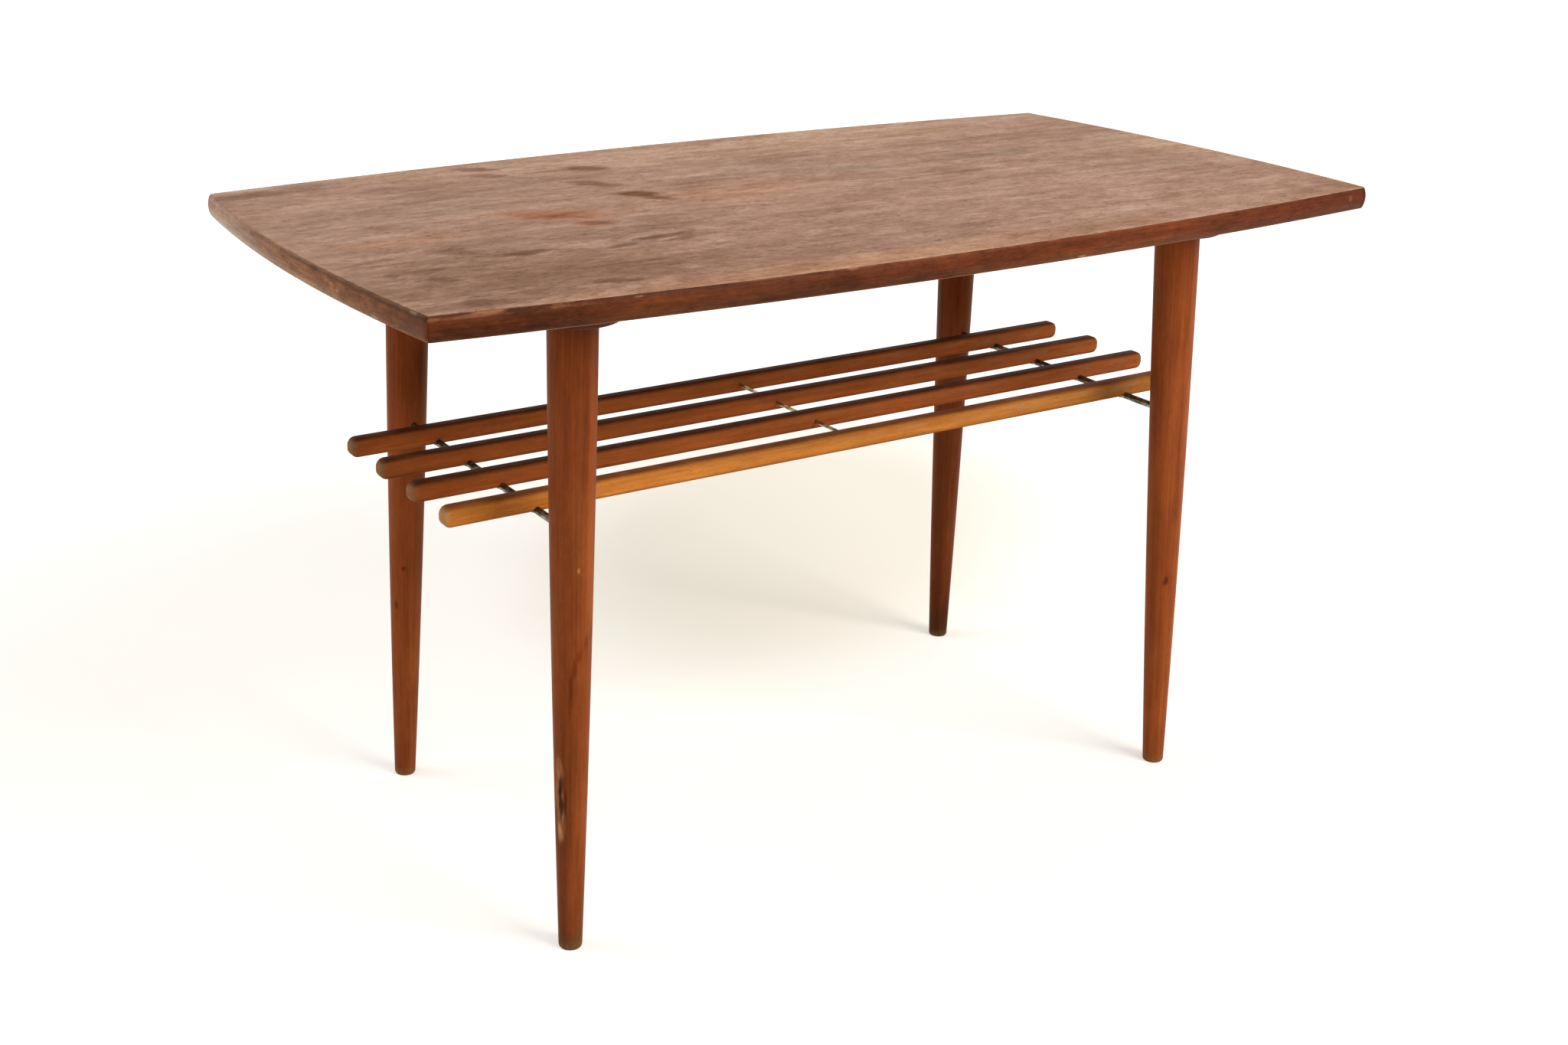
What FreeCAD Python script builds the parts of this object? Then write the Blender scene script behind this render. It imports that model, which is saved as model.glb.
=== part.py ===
import FreeCAD, Part
import math
import os
import Sketcher

# Coffee table with a bowed, lipped and veneered top on four splayed turned legs, and a slatted
# shelf hung on two rods between the legs. Millimetres, +Z up, +X along the length, +Y to the back.
# The origin is on the floor, below the middle of the top.

DIMENSIONS = (
    ("table_height", 542.5, "floor to the upper face of the top"),
    ("top_length", 900.0, "over the middles of the bowed ends"),
    ("top_width", 495.0, "over the middles of the bowed sides"),
    ("top_thickness", 18.5, "board with its veneers"),
    ("side_bow", 25.0, "rise of a long side above its chord"),
    ("end_bow", 13.5, "rise of a short end above its chord"),
    ("corner_round", 5.0, "corner of the top, seen from above"),
    ("edge_bulge", 2.3, "how far the middle of the top's edge stands out beyond its arrises"),
    ("edge_arris", 1.5, "rounding of the top's upper and lower arrises"),
    ("veneer_thickness", 0.6, "face and balancing veneer"),
    ("lipping_width", 12.0, "solid edge strip, measured inwards"),
    ("batten_width", 72.0, "cross batten under the top, with half-round ends"),
    ("batten_thickness", 18.0, "from the leg's shoulder to the underside"),
    ("leg_inset_across", 158.0, "leg axis at its shoulder, in from the end of the top"),
    ("leg_inset_deep", 99.5, "leg axis at its shoulder, in from the side of the top"),
    ("splay_across", 19.0, "how far the foot stands out beyond the shoulder along X"),
    ("splay_deep", 17.5, "how far the foot stands out beyond the shoulder along Y"),
    ("leg_top_radius", 19.0, "turned leg at its shoulder"),
    ("leg_foot_radius", 9.5, "turned leg at the floor"),
    ("leg_belly", 1.2, "swell of the leg's side outside a straight taper"),
    ("foot_round", 4.0, "rounding of the foot's edge"),
    ("turning_waste", 1.5, "stock turned past each end before the ends are cut level"),
    ("tenon_radius", 11.0, "leg tenon in the batten"),
    ("tenon_root", 6.0, "overlap of the tenon with the leg it grows from"),
    ("wedge_thickness", 2.0, "wedge in the tenon's saw cut"),
    ("wedge_depth", 13.0, "depth of the saw cut"),
    ("joint_clearance", 0.1, "between a piece and the hole that holds it"),
    ("slat_overhang", 77.0, "slat's end beyond the end rod"),
    ("slat_height", 16.0, "slat on edge"),
    ("slat_thickness", 12.0, "slat, front to back"),
    ("slat_pitch", 61.0, "from one slat to the next"),
    ("slat_upper_round", 7.0, "end of the slat, upper corner"),
    ("slat_lower_round", 6.0, "end of the slat, lower corner"),
    ("slat_arris", 2.5, "rounding along the slat's long edges"),
    ("slat_underside", 342.5, "height of the slats above the floor"),
    ("rod_radius", 3.0, "end rod between a front and a back leg"),
    ("rod_rise", 1.0, "end rod's centre above the slats' underside"),
    ("rod_stop", 3.0, "end rod ends this far short of the leg's axis"),
    ("spacer_radius", 1.6, "middle rod through the slats"),
    ("spacer_rise", 6.7, "middle rod's centre above the slats' underside"),
    ("spacer_cover", 3.0, "wood left over the middle rod's ends in the outer slats"),
    ("end_gap", 0.3, "between a rod's end and the bottom of its hole"),
    ("batten_screw_radius", 2.0, "shank"),
    ("batten_screw_head", 4.0, "radius of the countersunk head"),
    ("batten_screw_sink", 2.2, "height of the countersunk head"),
    ("batten_screw_length", 28.0, "over the head"),
    ("batten_screw_pitch", 70.0, "from one screw to the next along the batten"),
    ("slat_screw_radius", 1.0, "shank"),
    ("slat_screw_head", 2.0, "radius of the countersunk head"),
    ("slat_screw_sink", 1.0, "height of the countersunk head"),
    ("slat_screw_length", 13.0, "over the head"),
    ("overrun", 5.0, "how far a cutting shape runs past the piece that it cuts"),
)

SLAT_COUNT = 4
BATTEN_SCREW_COUNT = 3
SIDES = (("left", -1), ("right", 1))
ENDS = (("front", -1), ("back", 1))

# Heights and places worked out from the dimensions, as expressions on the sheet.
UNDERSIDE = "(Sizes.table_height - Sizes.top_thickness)"
SHOULDER = f"({UNDERSIDE} - Sizes.batten_thickness)"
CORNER_X = "(Sizes.top_length / 2 - Sizes.end_bow)"
CORNER_Y = "(Sizes.top_width / 2 - Sizes.side_bow)"
LEG_X = "(Sizes.top_length / 2 - Sizes.leg_inset_across)"
LEG_Y = "(Sizes.top_width / 2 - Sizes.leg_inset_deep)"
FOOT_X = f"({LEG_X} + Sizes.splay_across)"
FOOT_Y = f"({LEG_Y} + Sizes.splay_deep)"
EDGE_RADIUS = "((Sizes.top_thickness ^ 2 / 4 + Sizes.edge_bulge ^ 2) / (2 * Sizes.edge_bulge))"
EDGE_SCALE = f"({EDGE_RADIUS} / ({EDGE_RADIUS} - Sizes.edge_arris))"
ARRIS_RISE = "(Sizes.top_thickness / 2 - Sizes.edge_arris)"
ARRIS_REACH = f"sqrt(({EDGE_RADIUS} - Sizes.edge_arris) ^ 2 - {ARRIS_RISE} ^ 2)"
SPLAY = "sqrt(Sizes.splay_across ^ 2 + Sizes.splay_deep ^ 2)"
LEG_TILT = f"atan({SPLAY} / {SHOULDER})"
LEG_AZIMUTH = "atan(Sizes.splay_deep / Sizes.splay_across)"
LEG_LENGTH = f"sqrt({SPLAY} ^ 2 + {SHOULDER} ^ 2)"
ROD_Z = "(Sizes.slat_underside + Sizes.rod_rise)"
ROD_DROP_SHARE = f"(({SHOULDER} - {ROD_Z}) / {SHOULDER})"
ROD_X = f"({LEG_X} + Sizes.splay_across * {ROD_DROP_SHARE})"
ROD_END_Y = f"({LEG_Y} + Sizes.splay_deep * {ROD_DROP_SHARE} - Sizes.rod_stop)"
SLAT_END_X = f"({ROD_X} + Sizes.slat_overhang)"
SPACER_Z = "(Sizes.slat_underside + Sizes.spacer_rise)"
SPACER_END_Y = (f"(Sizes.slat_pitch * {(SLAT_COUNT - 1) / 2} + Sizes.slat_thickness / 2"
                " - Sizes.spacer_cover)")


def make_sheet(doc):
    """Puts the driving dimensions in a spreadsheet, one named cell each."""
    sheet = doc.addObject("Spreadsheet::Sheet", "Sizes")
    for row, (alias, value, meaning) in enumerate(DIMENSIONS, start=1):
        sheet.set(f"A{row}", alias)
        sheet.set(f"B{row}", str(value))
        sheet.setAlias(f"B{row}", alias)
        sheet.set(f"C{row}", meaning)
    doc.recompute()
    return sheet


def number(doc, expression):
    """The present value of an expression on the sheet."""
    result = doc.getObject("Sizes").evalExpression(expression)
    return float(getattr(result, "Value", result))


def bind(item, **expressions):
    """Ties properties to expressions; a double underscore stands for a dot."""
    for name, expression in expressions.items():
        item.setExpression(name.replace("__", "."), str(expression))
    return item


def place(item, x="0", y="0", z="0"):
    """Ties the position of an object to expressions."""
    return bind(item, Placement__Base__x=x, Placement__Base__y=y, Placement__Base__z=z)


def box(doc, name, length, width, height, x, y, z):
    """A Part box, centred on x and y, with its lower face at z."""
    item = bind(doc.addObject("Part::Box", name), Length=length, Width=width, Height=height)
    return place(item, f"{x} - ({length}) / 2", f"{y} - ({width}) / 2", z)


def cylinder_along_y(doc, name, radius, start, end, x, z):
    """A Part cylinder lying along Y from start to end."""
    item = bind(doc.addObject("Part::Cylinder", name), Radius=radius, Height=f"({end}) - ({start})")
    item.Placement.Rotation = FreeCAD.Rotation(FreeCAD.Vector(1, 0, 0), -90)
    return place(item, x, start, z)


def boolean(doc, kind, name, base, tool):
    """A Part::Cut or Part::Common of two objects."""
    item = doc.addObject(f"Part::{kind}", name)
    item.Base = base
    item.Tool = tool
    return item


def fuse(doc, name, items):
    """A Part::MultiFuse of several objects."""
    item = doc.addObject("Part::MultiFuse", name)
    item.Shapes = items
    return item


def group(doc, name, items):
    """Separate solids kept side by side in one object."""
    item = doc.addObject("Part::Compound", name)
    item.Links = items
    return item


def new_sketch(body, name, role, offset=None, angle=None):
    """A sketch on one of the body's own origin planes, lifted or turned by expressions."""
    sketch = body.newObject("Sketcher::SketchObject", name)
    plane = next(item for item in body.Origin.OriginFeatures if item.Role == role)
    sketch.AttachmentSupport = (plane, "")
    sketch.MapMode = "FlatFace"
    if angle is not None:
        turn = FreeCAD.Rotation(FreeCAD.Vector(0, 0, 1), 1)
        sketch.AttachmentOffset = FreeCAD.Placement(FreeCAD.Vector(), turn)
        bind(sketch, AttachmentOffset__Rotation__Angle=angle)
    if offset is not None:
        bind(sketch, AttachmentOffset__Base__z=offset)
    return sketch


def pin_point(doc, sketch, curve, position, place_expressions):
    """Ties one point of a curve to an x and a y expression."""
    for axis, expression in zip(("DistanceX", "DistanceY"), place_expressions):
        pin = sketch.addConstraint(Sketcher.Constraint(axis, -1, 1, curve, position, number(doc, expression)))
        sketch.setExpression(f"Constraints[{pin}]", expression)


def draw_curve(doc, sketch, start, pole, finish):
    """Draws a smooth curve with one control point between its ends."""
    curve = Part.BezierCurve()
    curve.setPoles([start, FreeCAD.Vector(number(doc, pole[0]), number(doc, pole[1]), 0), finish])
    index = sketch.addGeometry(curve.toBSpline(), False)
    first_pole = len(sketch.Geometry)
    sketch.exposeInternalGeometry(index)
    pin_point(doc, sketch, first_pole + 1, 3, pole)
    return index


def draw_outline(doc, sketch, corners, arcs, poles=None):
    """Draws a closed outline through corners given as expressions.

    arcs maps the index of a side to its radius and its bulge: +1 bulges to the right of the
    direction of travel, -1 to the left. poles maps the index of a side to the middle control
    point of a smooth curve. The other sides are straight.
    """
    poles = poles or {}
    points = [FreeCAD.Vector(number(doc, x), number(doc, y), 0) for x, y in corners]
    ends = []
    for index, start in enumerate(points):
        finish = points[(index + 1) % len(points)]
        if index in poles:
            ends.append((draw_curve(doc, sketch, start, poles[index], finish), 1, 2))
            continue
        if index not in arcs:
            line = sketch.addGeometry(Part.LineSegment(start, finish), False)
            ends.append((line, 1, 2))
            continue
        radius, bulge = arcs[index]
        chord = finish - start
        rise = number(doc, radius) - math.sqrt(max(number(doc, radius) ** 2 - (chord.Length / 2) ** 2, 0))
        outwards = FreeCAD.Vector(chord.y, -chord.x, 0).normalize()
        middle = (start + finish) * 0.5 + outwards * (rise * bulge)
        curve = sketch.addGeometry(Part.Arc(start, middle, finish), False)
        first_end, second_end = sketch.getPoint(curve, 1), sketch.getPoint(curve, 2)
        forwards = first_end.distanceToPoint(start) < second_end.distanceToPoint(start)
        ends.append((curve, 1, 2) if forwards else (curve, 2, 1))
    for index, (curve, first, last) in enumerate(ends):
        following, following_first, _ = ends[(index + 1) % len(ends)]
        sketch.addConstraint(Sketcher.Constraint("Coincident", curve, last, following, following_first))
        pin_point(doc, sketch, curve, first, corners[index])
        if index in arcs:
            radius = arcs[index][0]
            size = sketch.addConstraint(Sketcher.Constraint("Radius", curve, number(doc, radius)))
            sketch.setExpression(f"Constraints[{size}]", radius)


def draw_disc(doc, sketch, radius, x="0", y="0"):
    """Draws one circle, with its centre and radius tied to expressions."""
    centre = FreeCAD.Vector(number(doc, x), number(doc, y), 0)
    circle = sketch.addGeometry(Part.Circle(centre, FreeCAD.Vector(0, 0, 1), number(doc, radius)), False)
    pin_point(doc, sketch, circle, 3, (x, y))
    size = sketch.addConstraint(Sketcher.Constraint("Radius", circle, number(doc, radius)))
    sketch.setExpression(f"Constraints[{size}]", radius)


def pad(body, sketch, length, midplane=False):
    """Pads a sketch along its own normal."""
    feature = body.newObject("PartDesign::Pad", f"{sketch.Name}_pad")
    feature.Profile = sketch
    feature.Midplane = midplane
    return bind(feature, Length=length)


def pocket(body, sketch, length, upwards):
    """Pockets a sketch on the XY plane, upwards or downwards, and checks that it cuts."""
    before = body.Shape.Volume
    feature = body.newObject("PartDesign::Pocket", f"{sketch.Name}_pocket")
    feature.Profile = sketch
    feature.Reversed = upwards
    bind(feature, Length=length)
    body.Document.recompute()
    if body.Shape.Volume >= before:
        raise RuntimeError(f"{feature.Name} cuts nothing")
    return feature


def round_edges(body, name, radius, keep):
    """Rounds the edges of the body's tip for which keep(edge) is true."""
    body.Document.recompute()
    tip = body.Tip
    edges = [f"Edge{i}" for i, edge in enumerate(tip.Shape.Edges, start=1) if keep(edge)]
    feature = body.newObject("PartDesign::Fillet", name)
    feature.Base = (tip, edges)
    return bind(feature, Radius=radius)


def bow_radius(half_chord, rise):
    """Radius of the arc that rises above a chord, as an expression."""
    return f"(({half_chord}) ^ 2 + ({rise}) ^ 2) / (2 * ({rise}))"


def draw_bowed_plan(doc, sketch, inset="0"):
    """Draws the plan of the top, with all four sides bowed, drawn in by inset."""
    half_x = f"({CORNER_X} - ({inset}))"
    half_y = f"({CORNER_Y} - ({inset}))"
    side = bow_radius(half_x, "Sizes.side_bow")
    end = bow_radius(half_y, "Sizes.end_bow")
    corners = ((f"-{half_x}", f"-{half_y}"), (half_x, f"-{half_y}"), (half_x, half_y), (f"-{half_x}", half_y))
    draw_outline(doc, sketch, corners, {0: (side, 1), 1: (end, 1), 2: (side, 1), 3: (end, 1)})


def lies_level(edge, height, tolerance=1e-4):
    """Whether an edge lies flat at a height."""
    bounds = edge.BoundBox
    return abs(bounds.ZMin - height) < tolerance and abs(bounds.ZMax - height) < tolerance


def stands_upright(edge):
    """Whether an edge is a vertical line."""
    bounds = edge.BoundBox
    return bounds.ZLength > max(bounds.XLength, bounds.YLength)


def make_top(doc, screw_holes):
    """The board: core, face and balancing veneers, and four mitred lippings."""
    body = doc.addObject("PartDesign::Body", "board_blank")
    place(body, z=UNDERSIDE)
    sketch = new_sketch(body, "board_plan", "XY_Plane")
    draw_bowed_plan(doc, sketch)
    pad(body, sketch, "Sizes.top_thickness")
    round_edges(body, "plan_corners", "Sizes.corner_round", stands_upright)
    shape_board_edge(doc, body)

    span_x = "Sizes.top_length + 2 * Sizes.overrun"
    span_y = "Sizes.top_width + 2 * Sizes.overrun"
    core_height = "(Sizes.top_thickness - 2 * Sizes.veneer_thickness)"
    core_z = f"({UNDERSIDE} + Sizes.veneer_thickness)"
    core_top = f"({core_z} + {core_height})"
    lower = box(doc, "lower_slab", span_x, span_y, "Sizes.veneer_thickness", "0", "0", UNDERSIDE)
    upper = box(doc, "upper_slab", span_x, span_y, "Sizes.veneer_thickness", "0", "0", core_top)
    middle = box(doc, "middle_slab", span_x, span_y, core_height, "0", "0", core_z)

    core = doc.addObject("PartDesign::Body", "core_panel")
    place(core, z=core_z)
    core_sketch = new_sketch(core, "core_plan", "XY_Plane")
    draw_bowed_plan(doc, core_sketch, "Sizes.lipping_width")
    pad(core, core_sketch, core_height)

    ring = boolean(doc, "Cut", "lipping_ring", boolean(doc, "Common", "board_middle", body, middle), core)
    sheet = boolean(doc, "Common", "lower_sheet", body, lower)
    nodes = [boolean(doc, "Cut", "top_core", core, screw_holes),
             boolean(doc, "Common", "top_veneer", body, upper),
             boolean(doc, "Cut", "under_veneer", sheet, screw_holes)]
    reach = "(Sizes.lipping_width + Sizes.side_bow)"
    outside = "Sizes.overrun + Sizes.side_bow"
    for name, sign in ENDS:
        outer_x, outer_y = f"({CORNER_X} + {outside})", f"{sign} * ({CORNER_Y} + {outside})"
        inner_x, inner_y = f"({CORNER_X} - {reach})", f"{sign} * ({CORNER_Y} - {reach})"
        corners = [(f"-{outer_x}", outer_y), (outer_x, outer_y), (inner_x, inner_y), (f"-{inner_x}", inner_y)]
        nodes.append(make_lipping(doc, name, ring, corners, core_z, core_height))
    for name, sign in SIDES:
        outer_x, outer_y = f"{sign} * ({CORNER_X} + {outside})", f"({CORNER_Y} + {outside})"
        inner_x, inner_y = f"{sign} * ({CORNER_X} - {reach})", f"({CORNER_Y} - {reach})"
        corners = [(outer_x, f"-{outer_y}"), (outer_x, outer_y), (inner_x, inner_y), (inner_x, f"-{inner_y}")]
        nodes.append(make_lipping(doc, name, ring, corners, core_z, core_height))
    return nodes


def shape_board_edge(doc, body):
    """Cuts a convex face with a small upper and lower arris all round the board."""
    body.Document.recompute()
    blank = body.Tip
    loop = [f"Edge{i}" for i, edge in enumerate(blank.Shape.Edges, start=1) if lies_level(edge, 0)]
    profile = new_sketch(body, "edge_profile", "YZ_Plane")
    thick, over = "Sizes.top_thickness", "Sizes.overrun"
    outer = f"(-Sizes.top_width / 2 - {over})"
    flat = f"(-Sizes.top_width / 2 + {EDGE_RADIUS} - {ARRIS_REACH})"
    bend = f"(-Sizes.top_width / 2 + {EDGE_RADIUS} - {ARRIS_REACH} * {EDGE_SCALE})"
    bend_rise = f"({ARRIS_RISE} * {EDGE_SCALE})"
    corners = ((flat, "0"), (bend, f"{thick} / 2 - {bend_rise}"), (bend, f"{thick} / 2 + {bend_rise}"),
               (flat, thick), (flat, f"{thick} + {over}"), (outer, f"{thick} + {over}"),
               (outer, f"-{over}"), (flat, f"-{over}"))
    arris = "Sizes.edge_arris"
    draw_outline(doc, profile, corners, {0: (arris, -1), 1: (EDGE_RADIUS, -1), 2: (arris, -1)})
    feature = body.newObject("PartDesign::SubtractivePipe", "edge_shaping")
    feature.Profile = profile
    feature.Spine = (blank, loop)
    return feature


def make_lipping(doc, name, ring, corners, z, height):
    """One edge strip: the ring of lipping inside a wedge that ends at the two mitres."""
    wedge = place(doc.addObject("PartDesign::Body", f"{name}_wedge"), z=z)
    sketch = new_sketch(wedge, f"{name}_wedge_plan", "XY_Plane")
    draw_outline(doc, sketch, corners, {})
    pad(wedge, sketch, height)
    return boolean(doc, "Common", f"lipping_{name}", ring, wedge)


def make_screws(doc, name, sites, base_z, prefix, clearance="0"):
    """Countersunk screws driven upwards from base_z at sites given as (x, y) expressions.

    With a clearance they are the holes for the same screws.
    """
    items = []
    for index, (x, y) in enumerate(sites, start=1):
        radius, wide, sink, length = (f"Sizes.{prefix}_{part} + {clearance}"
                                      for part in ("radius", "head", "sink", "length"))
        shank = doc.addObject("Part::Cylinder", f"{name}_shank_{index}")
        head = doc.addObject("Part::Cone", f"{name}_head_{index}")
        place(bind(shank, Radius=radius, Height=length), x, y, base_z)
        place(bind(head, Radius1=wide, Radius2=radius, Height=sink), x, y, base_z)
        items.append(fuse(doc, f"{name}_{index}", [shank, head]))
    return group(doc, name, items)


def batten_screw_sites():
    """Screw places along the two battens."""
    middle = (BATTEN_SCREW_COUNT - 1) / 2
    return [(f"{sign} * {LEG_X}", f"{index - middle} * Sizes.batten_screw_pitch")
            for _, sign in SIDES for index in range(BATTEN_SCREW_COUNT)]


def make_battens(doc, screw_holes):
    """The two cross battens, with half-round ends round the leg tenons."""
    nodes = []
    half = "Sizes.batten_width / 2"
    for name, sign in SIDES:
        body = doc.addObject("PartDesign::Body", f"batten_blank_{name}")
        place(body, f"{sign} * {LEG_X}", "0", SHOULDER)
        sketch = new_sketch(body, f"batten_plan_{name}", "XY_Plane")
        corners = ((half, f"-{LEG_Y}"), (half, LEG_Y), (f"-({half})", LEG_Y), (f"-({half})", f"-{LEG_Y}"))
        draw_outline(doc, sketch, corners, {})
        pad(body, sketch, "Sizes.batten_thickness")
        for end, other in ENDS:
            round_end = new_sketch(body, f"batten_end_{name}_{end}", "XY_Plane")
            draw_disc(doc, round_end, half, y=f"{other} * {LEG_Y}")
            pad(body, round_end, "Sizes.batten_thickness")
        sockets = fuse(doc, f"tenon_sockets_{name}",
                       [make_tenon(doc, f"tenon_socket_{name}_{end}", sign, other, "Sizes.joint_clearance")
                        for end, other in ENDS])
        drilled = boolean(doc, "Cut", f"batten_drilled_{name}", body, sockets)
        nodes.append(boolean(doc, "Cut", f"batten_{name}", drilled, screw_holes))
    return nodes


def turn_to_leg(item, sign_x, sign_y, tilt):
    """Turns an object about Z to a leg's corner, then leans it so that its +Z runs up the leg."""
    azimuth = {(1, 1): f"{LEG_AZIMUTH}", (-1, 1): f"180 deg - {LEG_AZIMUTH}",
               (-1, -1): f"180 deg + {LEG_AZIMUTH}", (1, -1): f"-{LEG_AZIMUTH}"}[(sign_x, sign_y)]
    if tilt:
        lean = f"create(<<rotation>>; vector(0; 1; 0); -{LEG_TILT})"
        turn = f"create(<<rotation>>; vector(0; 0; 1); {azimuth})"
        item.setExpression("Placement.Rotation", f"{turn} * {lean}")
    else:
        item.Placement.Rotation = FreeCAD.Rotation(FreeCAD.Vector(0, 0, 1), 1)
        bind(item, Placement__Rotation__Angle=azimuth)
    return item


def make_tenon(doc, name, sign_x, sign_y, clearance="0"):
    """A cylinder on a leg's axis, from inside the leg to past the batten."""
    item = bind(doc.addObject("Part::Cylinder", name), Radius=f"Sizes.tenon_radius + {clearance}",
                Height="Sizes.tenon_root + Sizes.batten_thickness + Sizes.turning_waste")
    turn_to_leg(item, sign_x, sign_y, tilt=True)
    lift = f"({SHOULDER} - Sizes.tenon_root)"
    drift = f"(Sizes.tenon_root / {SHOULDER})"
    return place(item, f"{sign_x} * ({LEG_X} + Sizes.splay_across * {drift})",
                 f"{sign_y} * ({LEG_Y} + Sizes.splay_deep * {drift})", lift)


def make_turned_leg(doc, name):
    """A leg turned in one piece with its tenon, its foot and shoulder cut level."""
    body = doc.addObject("PartDesign::Body", name)
    taper = new_sketch(body, f"{name}_taper", "XZ_Plane", angle=LEG_TILT)
    low = "(-Sizes.turning_waste)"
    high = f"({LEG_LENGTH} + Sizes.turning_waste)"
    bottom = "Sizes.foot_round - Sizes.turning_waste"
    corners = (("0", low), ("Sizes.leg_foot_radius - Sizes.foot_round", low),
               ("Sizes.leg_foot_radius", bottom), ("Sizes.leg_top_radius", high), ("0", high))
    swell = "(Sizes.leg_foot_radius + Sizes.leg_top_radius) / 2 + 2 * Sizes.leg_belly"
    draw_outline(doc, taper, corners, {1: ("Sizes.foot_round", 1)}, {2: (swell, f"({bottom} + {high}) / 2")})
    revolve_about_axis(body, taper)

    wide = "2 * Sizes.leg_top_radius"
    deep = "Sizes.batten_thickness + 2 * Sizes.turning_waste"
    for level, length, upwards in ((SHOULDER, deep, True), ("0", "2 * Sizes.turning_waste", False)):
        end = "shoulder" if upwards else "foot"
        cut = new_sketch(body, f"{name}_{end}", "XY_Plane", offset=level)
        draw_disc(doc, cut, wide, x=f"-{SPLAY} * {level} / {SHOULDER}")
        pocket(body, cut, length, upwards)

    tenon = new_sketch(body, f"{name}_tenon", "XZ_Plane", angle=LEG_TILT)
    root = f"({LEG_LENGTH} - Sizes.tenon_root)"
    tip = f"({LEG_LENGTH} + Sizes.batten_thickness + Sizes.turning_waste)"
    radius = "Sizes.tenon_radius"
    draw_outline(doc, tenon, (("0", root), (radius, root), (radius, tip), ("0", tip)), {})
    revolve_about_axis(body, tenon)
    top_cut = new_sketch(body, f"{name}_tip", "XY_Plane", offset=UNDERSIDE)
    draw_disc(doc, top_cut, wide, x=f"-{SPLAY}")
    pocket(body, top_cut, deep, True)
    return body


def revolve_about_axis(body, sketch):
    """Revolves a sketch once round its own vertical axis."""
    feature = body.newObject("PartDesign::Revolution", f"{sketch.Name}_turned")
    feature.Profile = sketch
    feature.ReferenceAxis = (sketch, ["V_Axis"])
    feature.Angle = 360
    body.Document.recompute()
    return feature


def make_legs(doc):
    """Four legs with a rod socket on the inner side and a wedged saw cut in the tenon."""
    legs = []
    wedges = []
    gap = "Sizes.joint_clearance"
    for end, sign_y in ENDS:
        for side, sign_x in SIDES:
            name = f"{end}_{side}"
            body = make_turned_leg(doc, f"turned_leg_{name}")
            turn_to_leg(body, sign_x, sign_y, tilt=False)
            place(body, f"{sign_x} * {FOOT_X}", f"{sign_y} * {FOOT_Y}")
            near, far = "0", f"({ROD_END_Y} + Sizes.end_gap)"
            start, finish = (near, far) if sign_y > 0 else (f"-{far}", near)
            socket = cylinder_along_y(doc, f"rod_socket_{name}", f"Sizes.rod_radius + {gap}", start, finish,
                                      f"{sign_x} * {ROD_X}", ROD_Z)
            slot = make_wedge_block(doc, f"saw_cut_{name}", sign_x, sign_y, gap, "Sizes.overrun")
            cuts = fuse(doc, f"leg_cuts_{name}", [socket, slot])
            legs.append(boolean(doc, "Cut", f"leg_{name}", body, cuts))
            block = make_wedge_block(doc, f"wedge_block_{name}", sign_x, sign_y)
            tenon = make_tenon(doc, f"wedge_round_{name}", sign_x, sign_y)
            wedges.append(boolean(doc, "Common", f"wedge_{name}", block, tenon))
    return legs + [group(doc, "leg_wedges", wedges)]


def make_wedge_block(doc, name, sign_x, sign_y, gap="0", above="0"):
    """A flat block across the tenon, down from the underside of the top."""
    width = "2 * (Sizes.tenon_radius + Sizes.turning_waste)"
    thickness = f"Sizes.wedge_thickness + 2 * {gap}"
    depth = f"(Sizes.wedge_depth + {gap})"
    return box(doc, name, thickness, width, f"{depth} + {above}", f"{sign_x} * {LEG_X}",
               f"{sign_y} * {LEG_Y}", f"{UNDERSIDE} - {depth}")


def slat_places():
    """Distance of each slat from the middle along Y, from the back one to the front one."""
    middle = (SLAT_COUNT - 1) / 2
    return [f"({middle - index} * Sizes.slat_pitch)" for index in range(SLAT_COUNT)]


def slat_screw_sites():
    """Where each slat crosses each end rod."""
    return [(f"{sign} * {ROD_X}", y) for _, sign in SIDES for y in slat_places()]


def make_shelf(doc, screw_holes):
    """Slats on edge, notched over the end rods and threaded on the middle rod."""
    gap = "Sizes.joint_clearance"
    voids = []
    rods = []
    for side, sign in SIDES:
        x = f"{sign} * {ROD_X}"
        rod = cylinder_along_y(doc, f"rod_bar_{side}", "Sizes.rod_radius", f"-{ROD_END_Y}", ROD_END_Y,
                               x, ROD_Z)
        rods.append(boolean(doc, "Cut", f"rod_{side}", rod, screw_holes))
        far = f"({ROD_END_Y} + Sizes.end_gap)"
        voids.append(cylinder_along_y(doc, f"notch_{side}", f"Sizes.rod_radius + {gap}", f"-{far}", far,
                                      x, ROD_Z))
        voids.append(box(doc, f"notch_mouth_{side}", f"2 * (Sizes.rod_radius + {gap})", f"2 * {far}",
                         "Sizes.rod_rise + Sizes.overrun", x, "0", "Sizes.slat_underside - Sizes.overrun"))
    rods.append(cylinder_along_y(doc, "rod_middle", "Sizes.spacer_radius", f"-{SPACER_END_Y}", SPACER_END_Y,
                                 "0", SPACER_Z))
    reach = f"({SPACER_END_Y} + Sizes.end_gap)"
    voids.append(cylinder_along_y(doc, "spacer_bore", f"Sizes.spacer_radius + {gap}", f"-{reach}", reach,
                                  "0", SPACER_Z))
    shelf_voids = fuse(doc, "shelf_voids", voids)
    slats = []
    for index, y in enumerate(slat_places(), start=1):
        blank = make_slat_blank(doc, f"slat_blank_{index}", y)
        notched = boolean(doc, "Cut", f"slat_notched_{index}", blank, shelf_voids)
        slats.append(boolean(doc, "Cut", f"slat_{index}", notched, screw_holes))
    return slats + rods


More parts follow.
